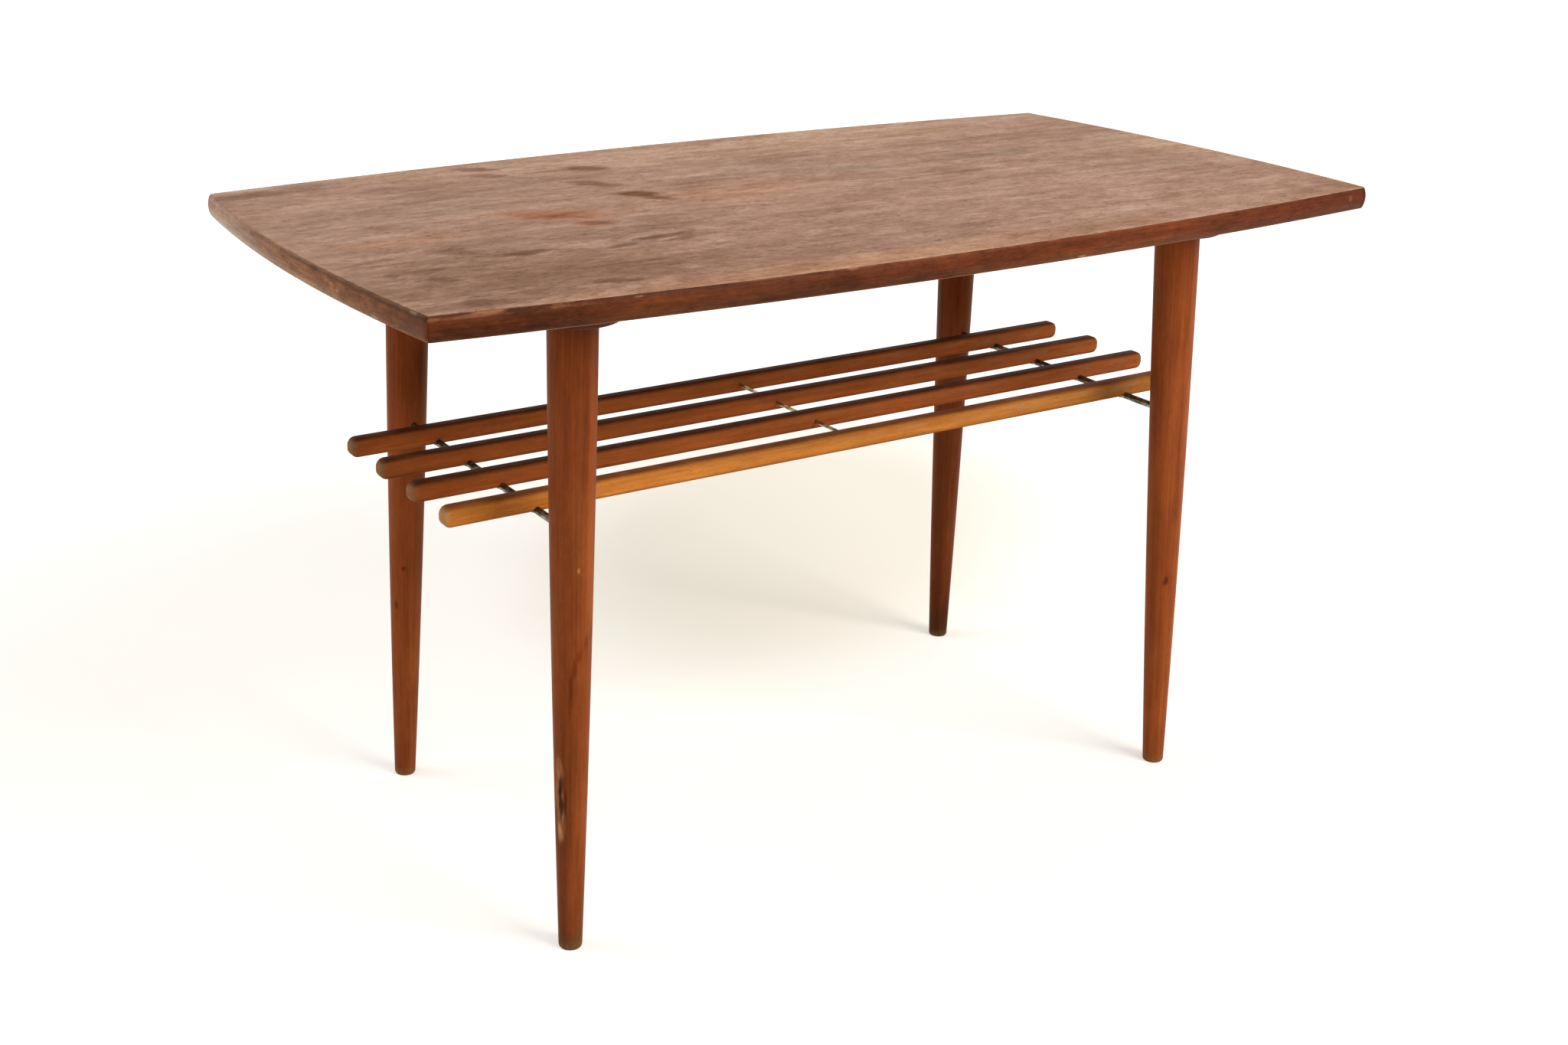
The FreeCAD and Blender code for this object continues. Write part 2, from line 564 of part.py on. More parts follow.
def make_slat_blank(doc, name, y):
    """A slat before its notches and bore: rounded ends and softened long edges."""
    body = place(doc.addObject("PartDesign::Body", name), "0", y, "Sizes.slat_underside")
    sketch = new_sketch(body, f"{name}_side", "XZ_Plane")
    half, tall = SLAT_END_X, "Sizes.slat_height"
    low, high = "Sizes.slat_lower_round", "Sizes.slat_upper_round"
    corners = ((f"-({half} - {low})", "0"), (f"{half} - {low}", "0"), (half, low), (half, f"{tall} - {high}"),
               (f"{half} - {high}", tall), (f"-({half} - {high})", tall), (f"-({half})", f"{tall} - {high}"),
               (f"-({half})", low))
    draw_outline(doc, sketch, corners, {1: (low, 1), 3: (high, 1), 5: (high, 1), 7: (low, 1)})
    pad(body, sketch, "Sizes.slat_thickness", midplane=True)
    round_edges(body, f"{name}_arris", "Sizes.slat_arris", lambda edge: edge.BoundBox.YLength < 1e-4)
    return body


def check_document(doc, nodes):
    """Stops when an object failed or a node has no valid solid."""
    failed = [f"{item.Label}: {item.getStatusString()}" for item in doc.Objects
              if "Invalid" in item.State or "Error" in item.State]
    if failed:
        raise RuntimeError("; ".join(failed))
    for node in nodes:
        if node.Shape.isNull() or not node.Shape.isValid() or not node.Shape.Solids:
            raise RuntimeError(f"{node.Label} has no valid solid")


def main():
    """Builds the document, checks it and writes one STEP file for each node."""
    doc = FreeCAD.newDocument("coffee_table")
    make_sheet(doc)
    gap = "Sizes.joint_clearance"
    slat_screw_base = f"({ROD_Z} - Sizes.rod_radius)"
    batten_holes = make_screws(doc, "batten_screw_holes", batten_screw_sites(), SHOULDER, "batten_screw", gap)
    slat_holes = make_screws(doc, "slat_screw_holes", slat_screw_sites(), slat_screw_base, "slat_screw", gap)
    nodes = make_top(doc, batten_holes)
    nodes += make_battens(doc, batten_holes)
    nodes.append(make_screws(doc, "batten_screws", batten_screw_sites(), SHOULDER, "batten_screw"))
    nodes += make_legs(doc)
    nodes += make_shelf(doc, slat_holes)
    nodes.append(make_screws(doc, "slat_screws", slat_screw_sites(), slat_screw_base, "slat_screw"))
    doc.recompute()
    check_document(doc, nodes)
    os.makedirs("parts", exist_ok=True)
    for node in nodes:
        node.Shape.exportStep(f"parts/{node.Label}.step")
        print(f"{node.Label}: {len(node.Shape.Solids)} solids, {node.Shape.Volume:.0f} mm3")


main()
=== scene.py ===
"""Looks of the coffee table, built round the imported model: board, battens, legs, shelf and fastenings.

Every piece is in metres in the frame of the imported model. Each sub-assembly is a class, each finish a
frozen dataclass, and main() builds them in order.
"""
import logging
import math
from dataclasses import dataclass, field
from enum import Enum
from typing import Callable, Sequence

import bmesh
import bpy
import numpy as np
from mathutils import Matrix, Vector, noise


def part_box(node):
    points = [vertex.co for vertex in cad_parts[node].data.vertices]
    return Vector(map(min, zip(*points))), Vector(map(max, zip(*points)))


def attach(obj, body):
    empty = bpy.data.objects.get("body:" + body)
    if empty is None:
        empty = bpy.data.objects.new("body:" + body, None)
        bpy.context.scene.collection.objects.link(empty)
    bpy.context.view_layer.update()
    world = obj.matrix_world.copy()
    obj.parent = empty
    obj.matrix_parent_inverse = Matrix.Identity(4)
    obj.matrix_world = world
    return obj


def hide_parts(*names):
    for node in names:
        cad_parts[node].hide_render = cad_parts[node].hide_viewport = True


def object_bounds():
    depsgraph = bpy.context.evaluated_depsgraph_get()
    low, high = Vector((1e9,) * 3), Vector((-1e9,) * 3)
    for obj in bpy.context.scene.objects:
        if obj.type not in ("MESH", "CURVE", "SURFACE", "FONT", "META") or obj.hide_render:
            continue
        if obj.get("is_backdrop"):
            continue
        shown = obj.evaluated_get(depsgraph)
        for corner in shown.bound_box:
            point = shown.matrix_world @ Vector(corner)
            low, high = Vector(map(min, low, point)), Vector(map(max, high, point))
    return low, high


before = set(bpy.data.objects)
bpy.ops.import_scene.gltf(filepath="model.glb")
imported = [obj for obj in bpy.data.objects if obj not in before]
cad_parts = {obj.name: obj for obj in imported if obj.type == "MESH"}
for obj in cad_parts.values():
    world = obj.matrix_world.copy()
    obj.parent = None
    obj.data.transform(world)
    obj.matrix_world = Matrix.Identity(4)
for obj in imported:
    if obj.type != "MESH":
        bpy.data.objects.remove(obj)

LOG = logging.getLogger("coffee_table")
MM = 0.001
BODY = "root"
IMAGE_WIDTH = 2048
# How far a flat cap starts inside the rounded edge beside it, so that it shades flat.
CAP_INSET = 0.6 * MM
# Angle in degrees above which an edge usually stays sharp.
CREASE = 32.0
# Steps of the noise's fourth coordinate from board to board and from layer to layer of a wood.
BOARD_STEP = 7.31
STREAK_STEP, PORE_STEP, THICK_STEP, FLECK_STEP, CLOUD_STEP = 3.7, 9.1, 5.3, 1.9, 6.6
PATINA_SEED, RUB_SEED, SMUDGE_SEED = 2.6, 4.4, 8.8
# Noise levels between which a pattern goes from none to full.
BAND_LEVELS = (0.36, 0.66)
STREAK_LEVELS = (0.34, 0.70)
PATINA_LEVELS = (0.38, 0.66)
# Range of the shift in metres that bends the outlines of marks.
MARK_WARP = (0.012, 0.006, 0.006)
# Numbers from which the boards are counted, so that no two pieces have the same figure.
LIPPING_BOARD, VENEER_BOARD, BATTEN_BOARD, LEG_BOARD, SLAT_BOARD = 1.0, 5.0, 11.0, 21.0, 31.0
WHITE = (1.0, 1.0, 1.0)
Colour = tuple[float, float, float]
Socket = bpy.types.NodeSocket
Inputs = dict[str | int, object] | Sequence[object]


class Side(Enum):
    """The four sides of the board."""

    FRONT = "front"
    RIGHT = "right"
    BACK = "back"
    LEFT = "left"


class Corner(Enum):
    """The four corners where a leg stands, with the signs of x and y."""

    FRONT_LEFT = (-1, -1)
    FRONT_RIGHT = (1, -1)
    BACK_LEFT = (-1, 1)
    BACK_RIGHT = (1, 1)


class Tone(Enum):
    """What a mark does to the wood below it: the colour it is multiplied by."""

    DARK = (0.42, 0.31, 0.24)
    BURNT = (0.38, 0.25, 0.15)
    UMBER = (0.56, 0.43, 0.35)
    DEEP = (0.72, 0.80, 0.92)
    ASHEN = (0.66, 1.10, 1.55)
    SOOT = (0.70, 0.66, 0.60)
    GREY = (0.84, 0.90, 0.92)
    WARM = (0.86, 0.63, 0.48)
    RUST = (1.06, 0.92, 0.78)
    AMBER = (1.10, 0.97, 0.78)
    TAN = (0.80, 0.72, 0.62)
    GLOW = (1.32, 1.32, 1.18)
    PALE = (1.16, 1.14, 1.12)
    BLEACHED = (1.30, 1.36, 1.32)
    DUSTY = (1.45, 2.10, 2.70)
    BARE = (1.75, 2.60, 3.60)
    BLACK = (0.16, 0.14, 0.14)


def vary(x: float, y: float, rate: float, seed: float) -> float:
    """Smooth repeatable variation from -1 to 1 over x and y, with about rate swings to the metre."""
    return noise.noise(Vector((x * rate, y * rate, seed)))


def smooth_step(low: float, high: float, value: np.ndarray) -> np.ndarray:
    """Eases from 0 at low to 1 at high.

    Args:
        low: value that gives 0.
        high: value that gives 1.
        value: values to ease.

    Returns:
        The eased values.
    """
    t = np.clip((np.asarray(value, float) - low) / (high - low), 0.0, 1.0)
    return t * t * (3.0 - 2.0 * t)


def loft(rings: np.ndarray) -> tuple[list[list[float]], list[tuple[int, ...]]]:
    """Joins closed rings of points into a closed shell with a flat cap at each end.

    Args:
        rings: points as rings, places round the ring and x, y, z.

    Returns:
        The corner points and the faces.
    """
    count, size, _ = rings.shape
    points = rings.reshape(-1, 3).tolist()
    faces = []
    for i in range(count - 1):
        for j in range(size):
            k = (j + 1) % size
            faces.append((i * size + j, i * size + k, (i + 1) * size + k, (i + 1) * size + j))
    faces.append(tuple(range(size)))
    faces.append(tuple((count - 1) * size + j for j in reversed(range(size))))
    return points, faces


def at_height(line: np.ndarray, height: float) -> np.ndarray:
    """Lifts points given as x, y to a height."""
    return np.column_stack([line, np.full(len(line), height)])


def inward(step: np.ndarray) -> np.ndarray:
    """Unit directions to the left of each step, which is inwards on an anticlockwise line."""
    step = step / np.linalg.norm(step, axis=1)[:, None]
    return np.stack([-step[:, 1], step[:, 0]], 1)


def rounded(radius: float, steps: int) -> list[tuple[float, float]]:
    """Section of a quarter round, from its lowest point out to its full width.

    Args:
        radius: its radius.
        steps: number of points.

    Returns:
        How far each point is in and how far up it is.
    """
    turns = np.linspace(0.0, math.pi / 2, steps)
    return [(radius * (1 - math.sin(turn)), radius * (1 - math.cos(turn))) for turn in turns]


def store(mesh: bpy.types.Mesh, name: str, values: np.ndarray) -> None:
    """Stores one number or one vector for each point of a mesh.

    Args:
        mesh: the mesh.
        name: name of the attribute.
        values: one row for each point.
    """
    values = np.asarray(values, dtype=np.float32)
    vector = values.ndim == 2
    layer = mesh.attributes.new(name, "FLOAT_VECTOR" if vector else "FLOAT", "POINT")
    layer.data.foreach_set("vector" if vector else "value", values.ravel())


def shade_smooth(mesh: bpy.types.Mesh, crease: float) -> None:
    """Shades a mesh smooth, apart from edges sharper than a crease angle in degrees."""
    mesh.polygons.foreach_set("use_smooth", [True] * len(mesh.polygons))
    mesh.set_sharp_from_angle(angle=math.radians(crease))


def make_piece(name: str, points: Sequence[Sequence[float]],
               faces: Sequence[tuple[int, ...]]) -> bpy.types.Object:
    """Makes a closed mesh with its faces outwards and smooth up to the usual crease.

    Args:
        name: name of the piece.
        points: its corner points.
        faces: its faces.

    Returns:
        The new object, at the origin.
    """
    mesh = bpy.data.meshes.new(name)
    mesh.from_pydata([tuple(point) for point in points], [], list(faces))
    work = bmesh.new()
    work.from_mesh(mesh)
    bmesh.ops.recalc_face_normals(work, faces=work.faces)
    work.to_mesh(mesh)
    work.free()
    shade_smooth(mesh, CREASE)
    piece = bpy.data.objects.new(name, mesh)
    bpy.context.scene.collection.objects.link(piece)
    return piece


def dress_wood(piece: bpy.types.Object, finish: bpy.types.Material, board: float, grain: np.ndarray,
               wear: np.ndarray, dirt: np.ndarray) -> None:
    """Gives a wooden piece its finish and what the finish reads at each point.

    Args:
        piece: the piece.
        finish: its material.
        board: number that varies its figure.
        grain: coordinates along, across and through the grain in metres.
        wear: how rubbed it is.
        dirt: how dirty it is, and where shade is painted in.
    """
    store(piece.data, "grain", grain.reshape(-1, 3))
    store(piece.data, "board", np.full(len(piece.data.vertices), board))
    store(piece.data, "wear", wear.ravel())
    store(piece.data, "dirt", dirt.ravel())
    piece.data.materials.append(finish)


def dress_node(name: str, finish: bpy.types.Material) -> None:
    """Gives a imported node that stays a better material.

    Args:
        name: name of the node.
        finish: its material.
    """
    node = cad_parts[name]
    if not node.material_slots:
        node.data.materials.append(finish)
    for slot in node.material_slots:
        slot.material = finish
    LOG.info("%s: packed node with %s", name, finish.name)


def hand_over(piece: bpy.types.Object, slot: str, *nodes: str) -> None:
    """Fixes a piece to the table's body and lets it stand for its nodes.

    Args:
        piece: the finished piece.
        slot: material slot of the record that it takes its finish from; not used.
        nodes: nodes that it replaces.
    """
    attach(piece, BODY)
    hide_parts(*nodes)
    LOG.info("%s: %d faces, stands for %s", piece.name, len(piece.data.polygons), ", ".join(nodes))


class Wiring:
    """Adds nodes to a tree and wires them."""

    def __init__(self, tree: bpy.types.NodeTree) -> None:
        """Takes the tree."""
        self.tree = tree

    def put(self, socket: Socket, value: object) -> None:
        """Links a socket to a socket, or sets it to a value.

        Args:
            socket: the input.
            value: an output, a number, a name, a vector or a colour.
        """
        if isinstance(value, bpy.types.NodeSocket):
            self.tree.links.new(value, socket)
        elif isinstance(value, (int, float, str)):
            socket.default_value = value
        else:
            wanted = len(socket.default_value)
            socket.default_value = (tuple(value) + (1.0,))[:wanted]

    def node(self, kind: str, inputs: Inputs = (), **settings: object) -> bpy.types.Node:
        """Adds a node, sets its properties and fills its inputs.

        Args:
            kind: type of the node.
            inputs: values or outputs in order, or by the input's name or number.
            settings: properties by name.

        Returns:
            The node.
        """
        made = self.tree.nodes.new(kind)
        for name, value in settings.items():
            setattr(made, name, value)
        for key, value in inputs.items() if isinstance(inputs, dict) else enumerate(inputs):
            if value is not None:
                self.put(made.inputs[key], value)
        return made

    def result(self, kind: str, inputs: Inputs = (), **settings: object) -> Socket:
        """Adds a node as node() does and gives its first output."""
        return self.node(kind, inputs, **settings).outputs[0]

    def math(self, operation: str, a: object, b: object = 0.0, clamp: bool = False) -> Socket:
        """Adds one sum on numbers.

        Args:
            operation: name of the sum.
            a: first number or output.
            b: second number or output.
            clamp: keep the result between 0 and 1.

        Returns:
            The result.
        """
        return self.result("ShaderNodeMath", (a, b), operation=operation, use_clamp=clamp)

    def point(self, x: object, y: object, z: object) -> Socket:
        """Joins three numbers to a vector."""
        return self.result("ShaderNodeCombineXYZ", (x, y, z))


class Bench(Wiring):
    """Builds the shader of one material or world."""

    def __init__(self, owner: bpy.types.Material | bpy.types.World) -> None:
        """Starts with an empty tree.

        Args:
            owner: the material or world.
        """
        owner.use_nodes = True
        super().__init__(owner.node_tree)
        self.owner = owner
        self.tree.nodes.clear()

    def vector(self, operation: str, a: object, b: object = None, c: object = None) -> Socket:
        """Adds one sum on vectors.

        Args:
            operation: name of the sum.
            a: first vector.
            b: second vector.
            c: third vector.

        Returns:
            The resulting vector, or number for a length.
        """
        made = self.node("ShaderNodeVectorMath", (a, b, c), operation=operation)
        return made.outputs[1 if operation in ("LENGTH", "DISTANCE", "DOT_PRODUCT") else 0]

    def ease(self, value: Socket, low: float, high: float, at_low: object = 0.0,
             at_high: object = 1.0) -> Socket:
        """Eases a number from one value to another.

        Args:
            value: the number.
            low: where the change starts.
            high: where it ends.
            at_low: result at low.
            at_high: result at high.

        Returns:
            The eased number.
        """
        return self.result("ShaderNodeMapRange", (value, low, high, at_low, at_high),
                           interpolation_type="SMOOTHSTEP")

    def spread(self, value: Socket, low: float, high: float, at_low: float, at_high: float) -> Socket:
        """Maps a number from one range to another in a straight line, without going past it."""
        return self.result("ShaderNodeMapRange", (value, low, high, at_low, at_high),
                           interpolation_type="LINEAR", clamp=True)

    def cloud(self, place: Socket, length: float, width: float, seed: object, detail: float = 3.0,
              rough: float = 0.55) -> Socket:
        """Noise whose spots are length long on the first axis and width on the others.

        Args:
            place: coordinates in metres.
            length: size of the spots along the grain in metres.
            width: size across it in metres.
            seed: fourth coordinate, so that layers and boards differ.
            detail: number of finer layers.
            rough: strength of the finer layers.

        Returns:
            A number about 0.5, from 0 to 1.
        """
        scaled = self.vector("MULTIPLY", place, (1.0 / length, 1.0 / width, 1.0 / width))
        inputs = {"Vector": scaled, "W": seed, "Scale": 1.0, "Detail": detail, "Roughness": rough}
        return self.result("ShaderNodeTexNoise", inputs, noise_dimensions="4D")

    def blend(self, share: object, a: object, b: object, mode: str = "MIX") -> Socket:
        """Mixes two colours.

        Args:
            share: share of the second colour.
            a: first colour.
            b: second colour.
            mode: how they mix.

        Returns:
            The mixed colour.
        """
        made = self.node("ShaderNodeMix", {0: share, 6: a, 7: b}, data_type="RGBA", blend_type=mode)
        return made.outputs[2]

    def stored(self, name: str, number: bool = False) -> Socket:
        """Reads a stored attribute of the mesh, as a vector or as a number."""
        made = self.node("ShaderNodeAttribute", attribute_type="GEOMETRY", attribute_name=name)
        return made.outputs["Fac" if number else "Vector"]

    def place(self) -> Socket:
        """Object coordinates."""
        return self.node("ShaderNodeTexCoord").outputs["Object"]

    def relief(self, height: Socket, depth: float) -> Socket:
        """A bumped normal.

        Args:
            height: height from 0 to 1.
            depth: height in metres that 1 stands for.

        Returns:
            The normal.
        """
        return self.result("ShaderNodeBump", {"Strength": 1.0, "Distance": depth, "Height": height})

    def seen(self) -> Socket:
        """Tells rays from the camera, or by way of a gloss or glass, from all others.

        Returns:
            1 for such a ray and 0 for any other.
        """
        path = self.node("ShaderNodeLightPath")
        seen = self.math("ADD", path.outputs["Is Camera Ray"], path.outputs["Is Glossy Ray"])
        return self.math("ADD", seen, path.outputs["Is Transmission Ray"], clamp=True)

    def show(self, surface: Socket) -> None:
        """Ends the tree with the shader that is seen."""
        kind = "Material" if isinstance(self.owner, bpy.types.Material) else "World"
        self.node(f"ShaderNodeOutput{kind}", {"Surface": surface})

    def shade(self, colour: Socket, roughness: Socket, normal: Socket,
              fixed: dict[str, float]) -> bpy.types.Material:
        """Ends a material with its shader.

        Args:
            colour: the base colour.
            roughness: the roughness.
            normal: the bumped normal.
            fixed: numbers that are the same all over, by the shader's input.

        Returns:
            The material.
        """
        inputs = {"Base Color": colour, "Roughness": roughness, "Normal": normal, **fixed}
        self.show(self.result("ShaderNodeBsdfPrincipled", inputs))
        return self.owner


@dataclass(frozen=True)
class Mark:
    """A stain, streak or scrape, as an ellipse in a board's own coordinates, in millimetres.

    Attributes:
        along: place of its middle along the grain.
        across: place of its middle across the grain.
        length: length along the grain.
        width: width across the grain.
        strength: how strongly it shows, from 0 to 1.
        tone: what it does to the wood.
        depth: place of its middle on the third axis, for marks on round pieces.
        turn: its turn from along to across in degrees.
        soft: how soft its rim is, from 0 to 1.
        ragged: how far the grain breaks up its rim.
    """

    along: float
    across: float
    length: float
    width: float
    strength: float
    tone: Tone
    depth: float | None = None
    turn: float = 0.0
    soft: float = 0.6
    ragged: float = 0.5


def marks(tone: Tone, *rows: tuple[float | None, ...], soft: float = 0.6,
          ragged: float = 0.5) -> tuple[Mark, ...]:
    """Marks of one tone.

    Args:
        tone: what they do to the wood.
        rows: for each its along, across, length, width and strength, and where it has them its depth
            and turn.
        soft: how soft their rims are.
        ragged: how far the grain breaks up their rims.

    Returns:
        The marks.
    """
    return tuple(Mark(*row[:5], tone, *row[5:], soft=soft, ragged=ragged) for row in rows)


@dataclass(frozen=True)
class Layer:
    """One pattern in the grain of a wood.

    Attributes:
        length: length of its spots along the grain in millimetres.
        width: their width in millimetres.
        share: how strongly it shows.
    """

    length: float
    width: float
    share: float


@dataclass(frozen=True)
class Figure:
    """The grain of one kind of wood.

    Attributes:
        band: its broad bands.
        streak: its narrow streaks.
        pore: its pores.
        fleck: the flecks that roughen it.
        pore_limit: noise level above which there is a pore.
        fleck_hue: how much browner the dark flecks and clouds are than the light ones.
        cloud_share: how far broad clouds lighten and darken it.
        wander: how far the bands wander across the grain in millimetres.
    """

    band: Layer = Layer(420.0, 14.0, 0.5)
    streak: Layer = Layer(90.0, 2.2, 0.5)
    pore: Layer = Layer(7.0, 0.55, 0.5)
    fleck: Layer = Layer(60.0, 12.0, 0.20)
    pore_limit: float = 0.60
    fleck_hue: float = 0.0
    cloud_share: float = 0.10
    wander: float = 5.0


@dataclass(frozen=True)
class WoodFinish:
    """A wood and what time has done to it.

    Attributes:
        name: name of the material.
        light: colour of the light wood.
        dark: colour of the dark bands.
        pore: colour of the pores.
        figure: its grain.
        patina: colour of the aged patches.
        patina_share: how strongly they show.
        patina_size: their size in millimetres.
        worn: colour where the finish is rubbed off.
        worn_share: how strongly the rubbed places show.
        grime_and_shade: colour of dirt where it gathers, and of painted shade where shade falls.
        dirt_and_shade_share: how strongly the dirt and the painted shade show.
        roughness: roughness of the least and most glossy places.
        specular: strength of the mirror-like part.
        relief: depth of the open grain in metres.
        marks: its marks.
    """

    name: str
    light: Colour
    dark: Colour
    pore: Colour
    figure: Figure = Figure()
    patina: Colour = (0.3, 0.2, 0.15)
    patina_share: float = 0.4
    patina_size: float = 120.0
    worn: Colour = (0.5, 0.3, 0.18)
    worn_share: float = 0.5
    grime_and_shade: Colour = (0.035, 0.015, 0.008)
    dirt_and_shade_share: float = 1.0
    roughness: tuple[float, float] = (0.42, 0.6)
    specular: float = 0.4
    relief: float = 0.00012
    marks: tuple[Mark, ...] = ()

    def make(self) -> bpy.types.Material:
        """Builds the material.

        Returns:
            The material, which reads the attributes grain, board, wear and dirt.
        """
        bench = Bench(bpy.data.materials.new(self.name))
        grain = bench.stored("grain")
        board = bench.math("MULTIPLY", bench.stored("board", True), BOARD_STEP)
        figure = self.figure
        wander = bench.cloud(grain, 0.26, 0.05, board, 2.0)
        shift = bench.math("MULTIPLY", bench.math("SUBTRACT", wander, 0.5), 2.0 * figure.wander * MM)
        grown = bench.vector("ADD", grain, bench.point(0.0, shift, shift))

        def pattern(layer: Layer, step: float, detail: float, rough: float) -> Socket:
            """Noise of one layer of the figure."""
            seed = bench.math("ADD", board, step)
            return bench.cloud(grown, layer.length * MM, layer.width * MM, seed, detail, rough)

        bands = pattern(figure.band, 0.0, 3.0, 0.6)
        streaks = pattern(figure.streak, STREAK_STEP, 4.0, 0.62)
        pores = pattern(figure.pore, PORE_STEP, 2.0, 0.5)
        flecks = pattern(figure.fleck, FLECK_STEP, 6.0, 0.78)
        thick = bench.cloud(grown, 0.03, 0.004, bench.math("ADD", board, THICK_STEP), 2.0)
        clouds = bench.cloud(grown, 0.11, 0.03, bench.math("ADD", board, CLOUD_STEP), 3.0, 0.6)
        aged = bench.cloud(grain, self.patina_size * 1.6 * MM, self.patina_size * MM, PATINA_SEED, 4.0, 0.6)

        band = bench.ease(bands, *BAND_LEVELS, 0.0, figure.band.share)
        streak = bench.ease(streaks, *STREAK_LEVELS, 0.0, figure.streak.share)
        pore = bench.ease(pores, figure.pore_limit, figure.pore_limit + 0.09, 0.0, figure.pore.share)
        pore = bench.math("MULTIPLY", pore, bench.ease(thick, 0.35, 0.65, 0.35, 1.0))
        colour = bench.blend(bench.math("ADD", band, streak, clamp=True), self.light, self.dark)
        colour = bench.blend(bench.ease(aged, *PATINA_LEVELS, 0.0, self.patina_share), colour, self.patina)
        colour = bench.blend(pore, colour, self.pore)
        for spots, share in ((flecks, figure.fleck.share), (clouds, figure.cloud_share)):
            low = tuple(1.0 - share * (1.0 + part * figure.fleck_hue) for part in (0.0, 0.3, 0.6))
            high = tuple(1.0 + share * (1.0 + part * figure.fleck_hue) for part in (-0.4, -0.25, -0.1))
            tint = bench.blend(bench.spread(spots, 0.30, 0.70, 0.0, 1.0), low, high)
            colour = bench.blend(1.0, colour, tint, "MULTIPLY")
        colour = self.add_marks(bench, grain, flecks, colour)

        rub = bench.cloud(grain, 0.02, 0.006, RUB_SEED, 4.0, 0.65)
        wear = bench.math("MULTIPLY", bench.stored("wear", True), bench.ease(rub, 0.40, 0.62))
        colour = bench.blend(bench.math("MULTIPLY", wear, self.worn_share, clamp=True), colour, self.worn)
        # The stored mask lays dirt, and in shaded places painted shade, in the grime colour.
        smudge = bench.cloud(grain, 0.03, 0.012, SMUDGE_SEED, 3.0, 0.6)
        dirt = bench.ease(smudge, 0.25, 0.6, 0.6 * self.dirt_and_shade_share, self.dirt_and_shade_share)
        dirt = bench.math("MULTIPLY", bench.stored("dirt", True), dirt, clamp=True)
        colour = bench.blend(dirt, colour, self.grime_and_shade)

        gloss = bench.math("ADD", bench.math("MULTIPLY", streaks, 0.6), bench.math("MULTIPLY", aged, 0.4))
        height = bench.math("SUBTRACT", bench.math("MULTIPLY", streaks, 0.5), pore)
        return bench.shade(colour, bench.spread(gloss, 0.35, 0.65, *self.roughness),
                           bench.relief(height, self.relief), {"Specular IOR Level": self.specular})

    def add_marks(self, bench: Bench, grain: Socket, streaks: Socket, colour: Socket) -> Socket:
        """Lays the marks over a colour.

        Args:
            bench: where the nodes go.
            grain: the board's coordinates.
            streaks: noise that breaks up the rims along the grain.
            colour: the colour below.

        Returns:
            The marked colour.
        """
        if not self.marks:
            return colour
        stretched = bench.vector("MULTIPLY", grain, (40.0, 90.0, 90.0))
        warp = bench.node("ShaderNodeTexNoise", {"Vector": stretched, "Scale": 1.0, "Detail": 2.0},
                          noise_dimensions="3D")
        bent = bench.vector("MULTIPLY_ADD", warp.outputs["Color"], MARK_WARP, grain)
        bent = bench.vector("SUBTRACT", bent, tuple(part / 2 for part in MARK_WARP))
        broken = bench.math("SUBTRACT", streaks, 0.5)
        for mark in self.marks:
            deep = 0.0 if mark.depth is None else 2.0 / (mark.width * MM)
            size = (2.0 / (mark.length * MM), 2.0 / (mark.width * MM), deep)
            middle = (mark.along * MM, mark.across * MM, (mark.depth or 0.0) * MM)
            if mark.turn:
                from_middle = bench.vector("SUBTRACT", bent, middle)
                angle = -math.radians(mark.turn)
                turned = bench.result("ShaderNodeVectorRotate", {"Vector": from_middle, "Angle": angle},
                                      rotation_type="Z_AXIS")
                reach = bench.vector("LENGTH", bench.vector("MULTIPLY", turned, size))
            else:
                start = tuple(-a * b for a, b in zip(size, middle))
                reach = bench.vector("LENGTH", bench.vector("MULTIPLY_ADD", bent, size, start))
            reach = bench.math("ADD", reach, bench.math("MULTIPLY", broken, 2.0 * mark.ragged))
            share = bench.ease(reach, 1.0 - mark.soft, 1.0 + 0.6 * mark.soft, mark.strength, 0.0)
            colour = bench.blend(share, colour, mark.tone.value, "MULTIPLY")
        return colour


@dataclass(frozen=True)
class MetalFinish:
    """A dull metal.

    Attributes:
        name: name of the material.
        bright: colour of the clean metal.
        dull: colour of the patina.
        dull_share: how much patina there is.
        roughness: roughness of clean and of dull places.
        relief: depth of the spots in metres.
    """

    name: str
    bright: Colour
    dull: Colour
    dull_share: float
    roughness: tuple[float, float] = (0.25, 0.5)
    relief: float = 0.00003

    def make(self) -> bpy.types.Material:
        """Builds the material.

        Returns:
            The material, which reads object coordinates.
        """
        bench = Bench(bpy.data.materials.new(self.name))
        place = bench.place()
        spots = bench.cloud(place, 0.006, 0.006, 1.3, 4.0, 0.65)
        drawn = bench.cloud(bench.vector("MULTIPLY", place, (1.0, 0.05, 1.0)), 0.0004, 0.0004, 6.2, 2.0)
        patina = bench.ease(spots, 0.62 - 0.5 * self.dull_share, 0.78 - 0.3 * self.dull_share)
        height = bench.math("ADD", bench.math("MULTIPLY", drawn, 0.4), patina)
        return bench.shade(bench.blend(patina, self.bright, self.dull),
                           bench.spread(patina, 0.0, 1.0, *self.roughness),
                           bench.relief(height, self.relief), {"Metallic": 1.0})


